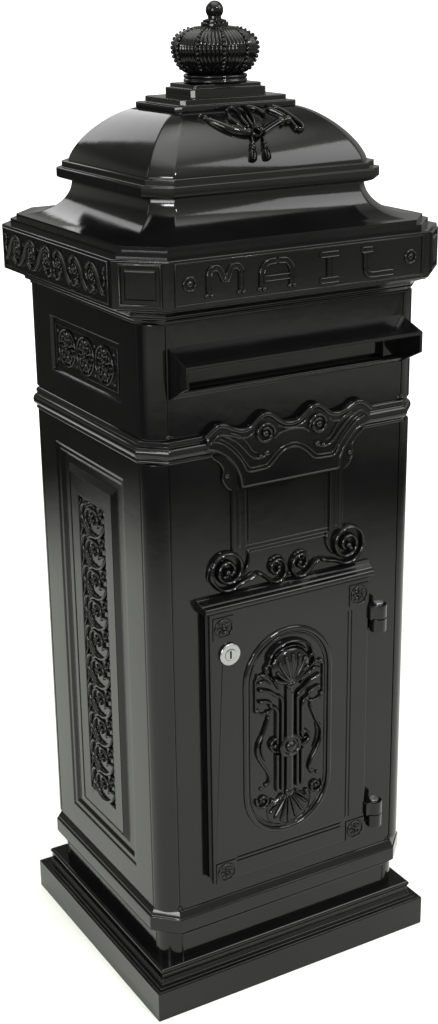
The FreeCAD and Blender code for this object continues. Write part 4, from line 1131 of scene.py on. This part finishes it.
apron()
pilasters()
bottom_volutes()
medallion_rim()
medallion()
door_rosettes()
frieze_front()
frieze_scrolls()
frieze_corners()
side_vines()
side_roundels()
roof_skins()
dome_bow()
crown()
crown_pearls()
crown_leaves()
column_beads()


# ---------------- studio
ROOM_STRENGTH = 4.6
ROOM_TINT = (0.985, 1.0, 0.94)
# the room's brightness as (height of the direction from -1 to 1, share of the strength)
ROOM_AHEAD = ((-0.30, 0.004), (-0.245, 0.30), (-0.215, 0.28), (-0.19, 0.05), (-0.165, 0.05), (-0.13, 0.20),
              (0.05, 0.15), (0.50, 0.18), (0.80, 0.34), (0.93, 1.0))
ROOM_BEHIND = ((-0.10, 0.015), (0.02, 0.075), (0.20, 0.075), (0.32, 0.03), (0.80, 0.06), (0.93, 1.0))
ROOM_TURN = (-0.35, 0.25)
BACKDROP_LIGHT = 1.6
FLOOR_REACH = 3.0
FLOOR_FULL = 1.10
FLOOR_GONE = 1.88


def height_ramp(tree, height, stops):
    """The room's brightness, which follows the direction's height through the given stops."""
    return colour_ramp(tree, height, [((level + 1) / 2, [share * part for part in ROOM_TINT])
                                      for level, share in stops])


def make_world():
    """A dim room lit by height, unlike ahead and behind, and a white backdrop wherever the camera looks."""
    world = bpy.data.worlds.new("studio")
    world.use_nodes = True
    tree = world.node_tree
    place = tree.nodes.new("ShaderNodeTexCoord")
    split = add_node(tree, "ShaderNodeSeparateXYZ", Vector=place.outputs["Generated"])
    height = map_range(tree, split.outputs["Z"], (-1.0, 1.0))
    blend = tree.nodes.new("ShaderNodeMix")
    blend.data_type = "RGBA"
    tree.links.new(map_range(tree, split.outputs["Y"], ROOM_TURN), blend.inputs["Factor"])
    tree.links.new(height_ramp(tree, height, ROOM_AHEAD), blend.inputs["A"])
    tree.links.new(height_ramp(tree, height, ROOM_BEHIND), blend.inputs["B"])
    room = tree.nodes["Background"]
    room.inputs["Strength"].default_value = ROOM_STRENGTH
    tree.links.new(blend.outputs["Result"], room.inputs["Color"])
    backdrop = add_node(tree, "ShaderNodeBackground", Color=(1, 1, 1, 1), Strength=BACKDROP_LIGHT)
    ray = tree.nodes.new("ShaderNodeLightPath")
    mix = add_node(tree, "ShaderNodeMixShader", Fac=ray.outputs["Is Camera Ray"])
    tree.links.new(room.outputs["Background"], mix.inputs[1])
    tree.links.new(backdrop.outputs["Background"], mix.inputs[2])
    tree.links.new(mix.outputs["Shader"], tree.nodes["World Output"].inputs["Surface"])
    bpy.context.scene.world = world
    bpy.context.scene.view_settings.view_transform = "Standard"


def make_floor():
    """A pale floor that fades out round the object, so that the dark room past it shows in reflections."""
    mesh = bpy.data.meshes.new("floor")
    reach = FLOOR_REACH
    mesh.from_pydata([(-reach, -reach, 0), (reach, -reach, 0), (reach, reach, 0), (-reach, reach, 0)], [],
                     [(0, 1, 2, 3)])
    floor = bpy.data.objects.new("floor", mesh)
    bpy.context.scene.collection.objects.link(floor)
    material, shader = new_material("pale_floor", (0.70, 0.71, 0.67), 0.9)
    shader.inputs["Specular IOR Level"].default_value = 0.2
    tree = material.node_tree
    place = tree.nodes.new("ShaderNodeTexCoord")
    radius = tree.nodes.new("ShaderNodeVectorMath")
    radius.operation = "LENGTH"
    tree.links.new(place.outputs["Object"], radius.inputs[0])
    fade = map_range(tree, radius.outputs["Value"], (FLOOR_FULL, FLOOR_GONE), (1.0, 0.0))
    fade.node.interpolation_type = "SMOOTHSTEP"
    tree.links.new(fade, shader.inputs["Alpha"])
    mesh.materials.append(material)


def area_light(name, place, aim, size, watts):
    data = bpy.data.lights.new(name, "AREA")
    data.shape = "RECTANGLE"
    data.size, data.size_y = size
    data.energy = watts
    light = bpy.data.objects.new(name, data)
    light.location = place
    light.rotation_euler = (Vector(aim) - Vector(place)).to_track_quat("-Z", "Y").to_euler()
    bpy.context.scene.collection.objects.link(light)


def make_studio():
    make_world()
    make_floor()
    area_light("floor_softbox", (-1.9, 0.9, 1.7), (-0.5, 0.5, 0.0), (1.2, 1.2), 8)
    area_light("rear_softbox", (0.1, 1.75, 1.83), (0, 0, 0.88), (1.0, 0.85), 6.4)
    area_light("dome_softbox", (1.02, -0.85, 1.75), (0.05, -0.1, 0.88), (0.9, 0.8), 13)
    area_light("edge_strip", (-1.7, -1.1, 0.98), (0, 0, 0.85), (1.0, 0.30), 17)
    area_light("relief_key", (0.25, -2.0, 2.15), (0, 0, 0.6), (0.32, 0.18), 36)
    area_light("left_key", (-1.55, -1.05, 1.42), (0, 0, 0.5), (0.3, 0.22), 11)


make_camera()
dress_cad_nodes()
make_studio()
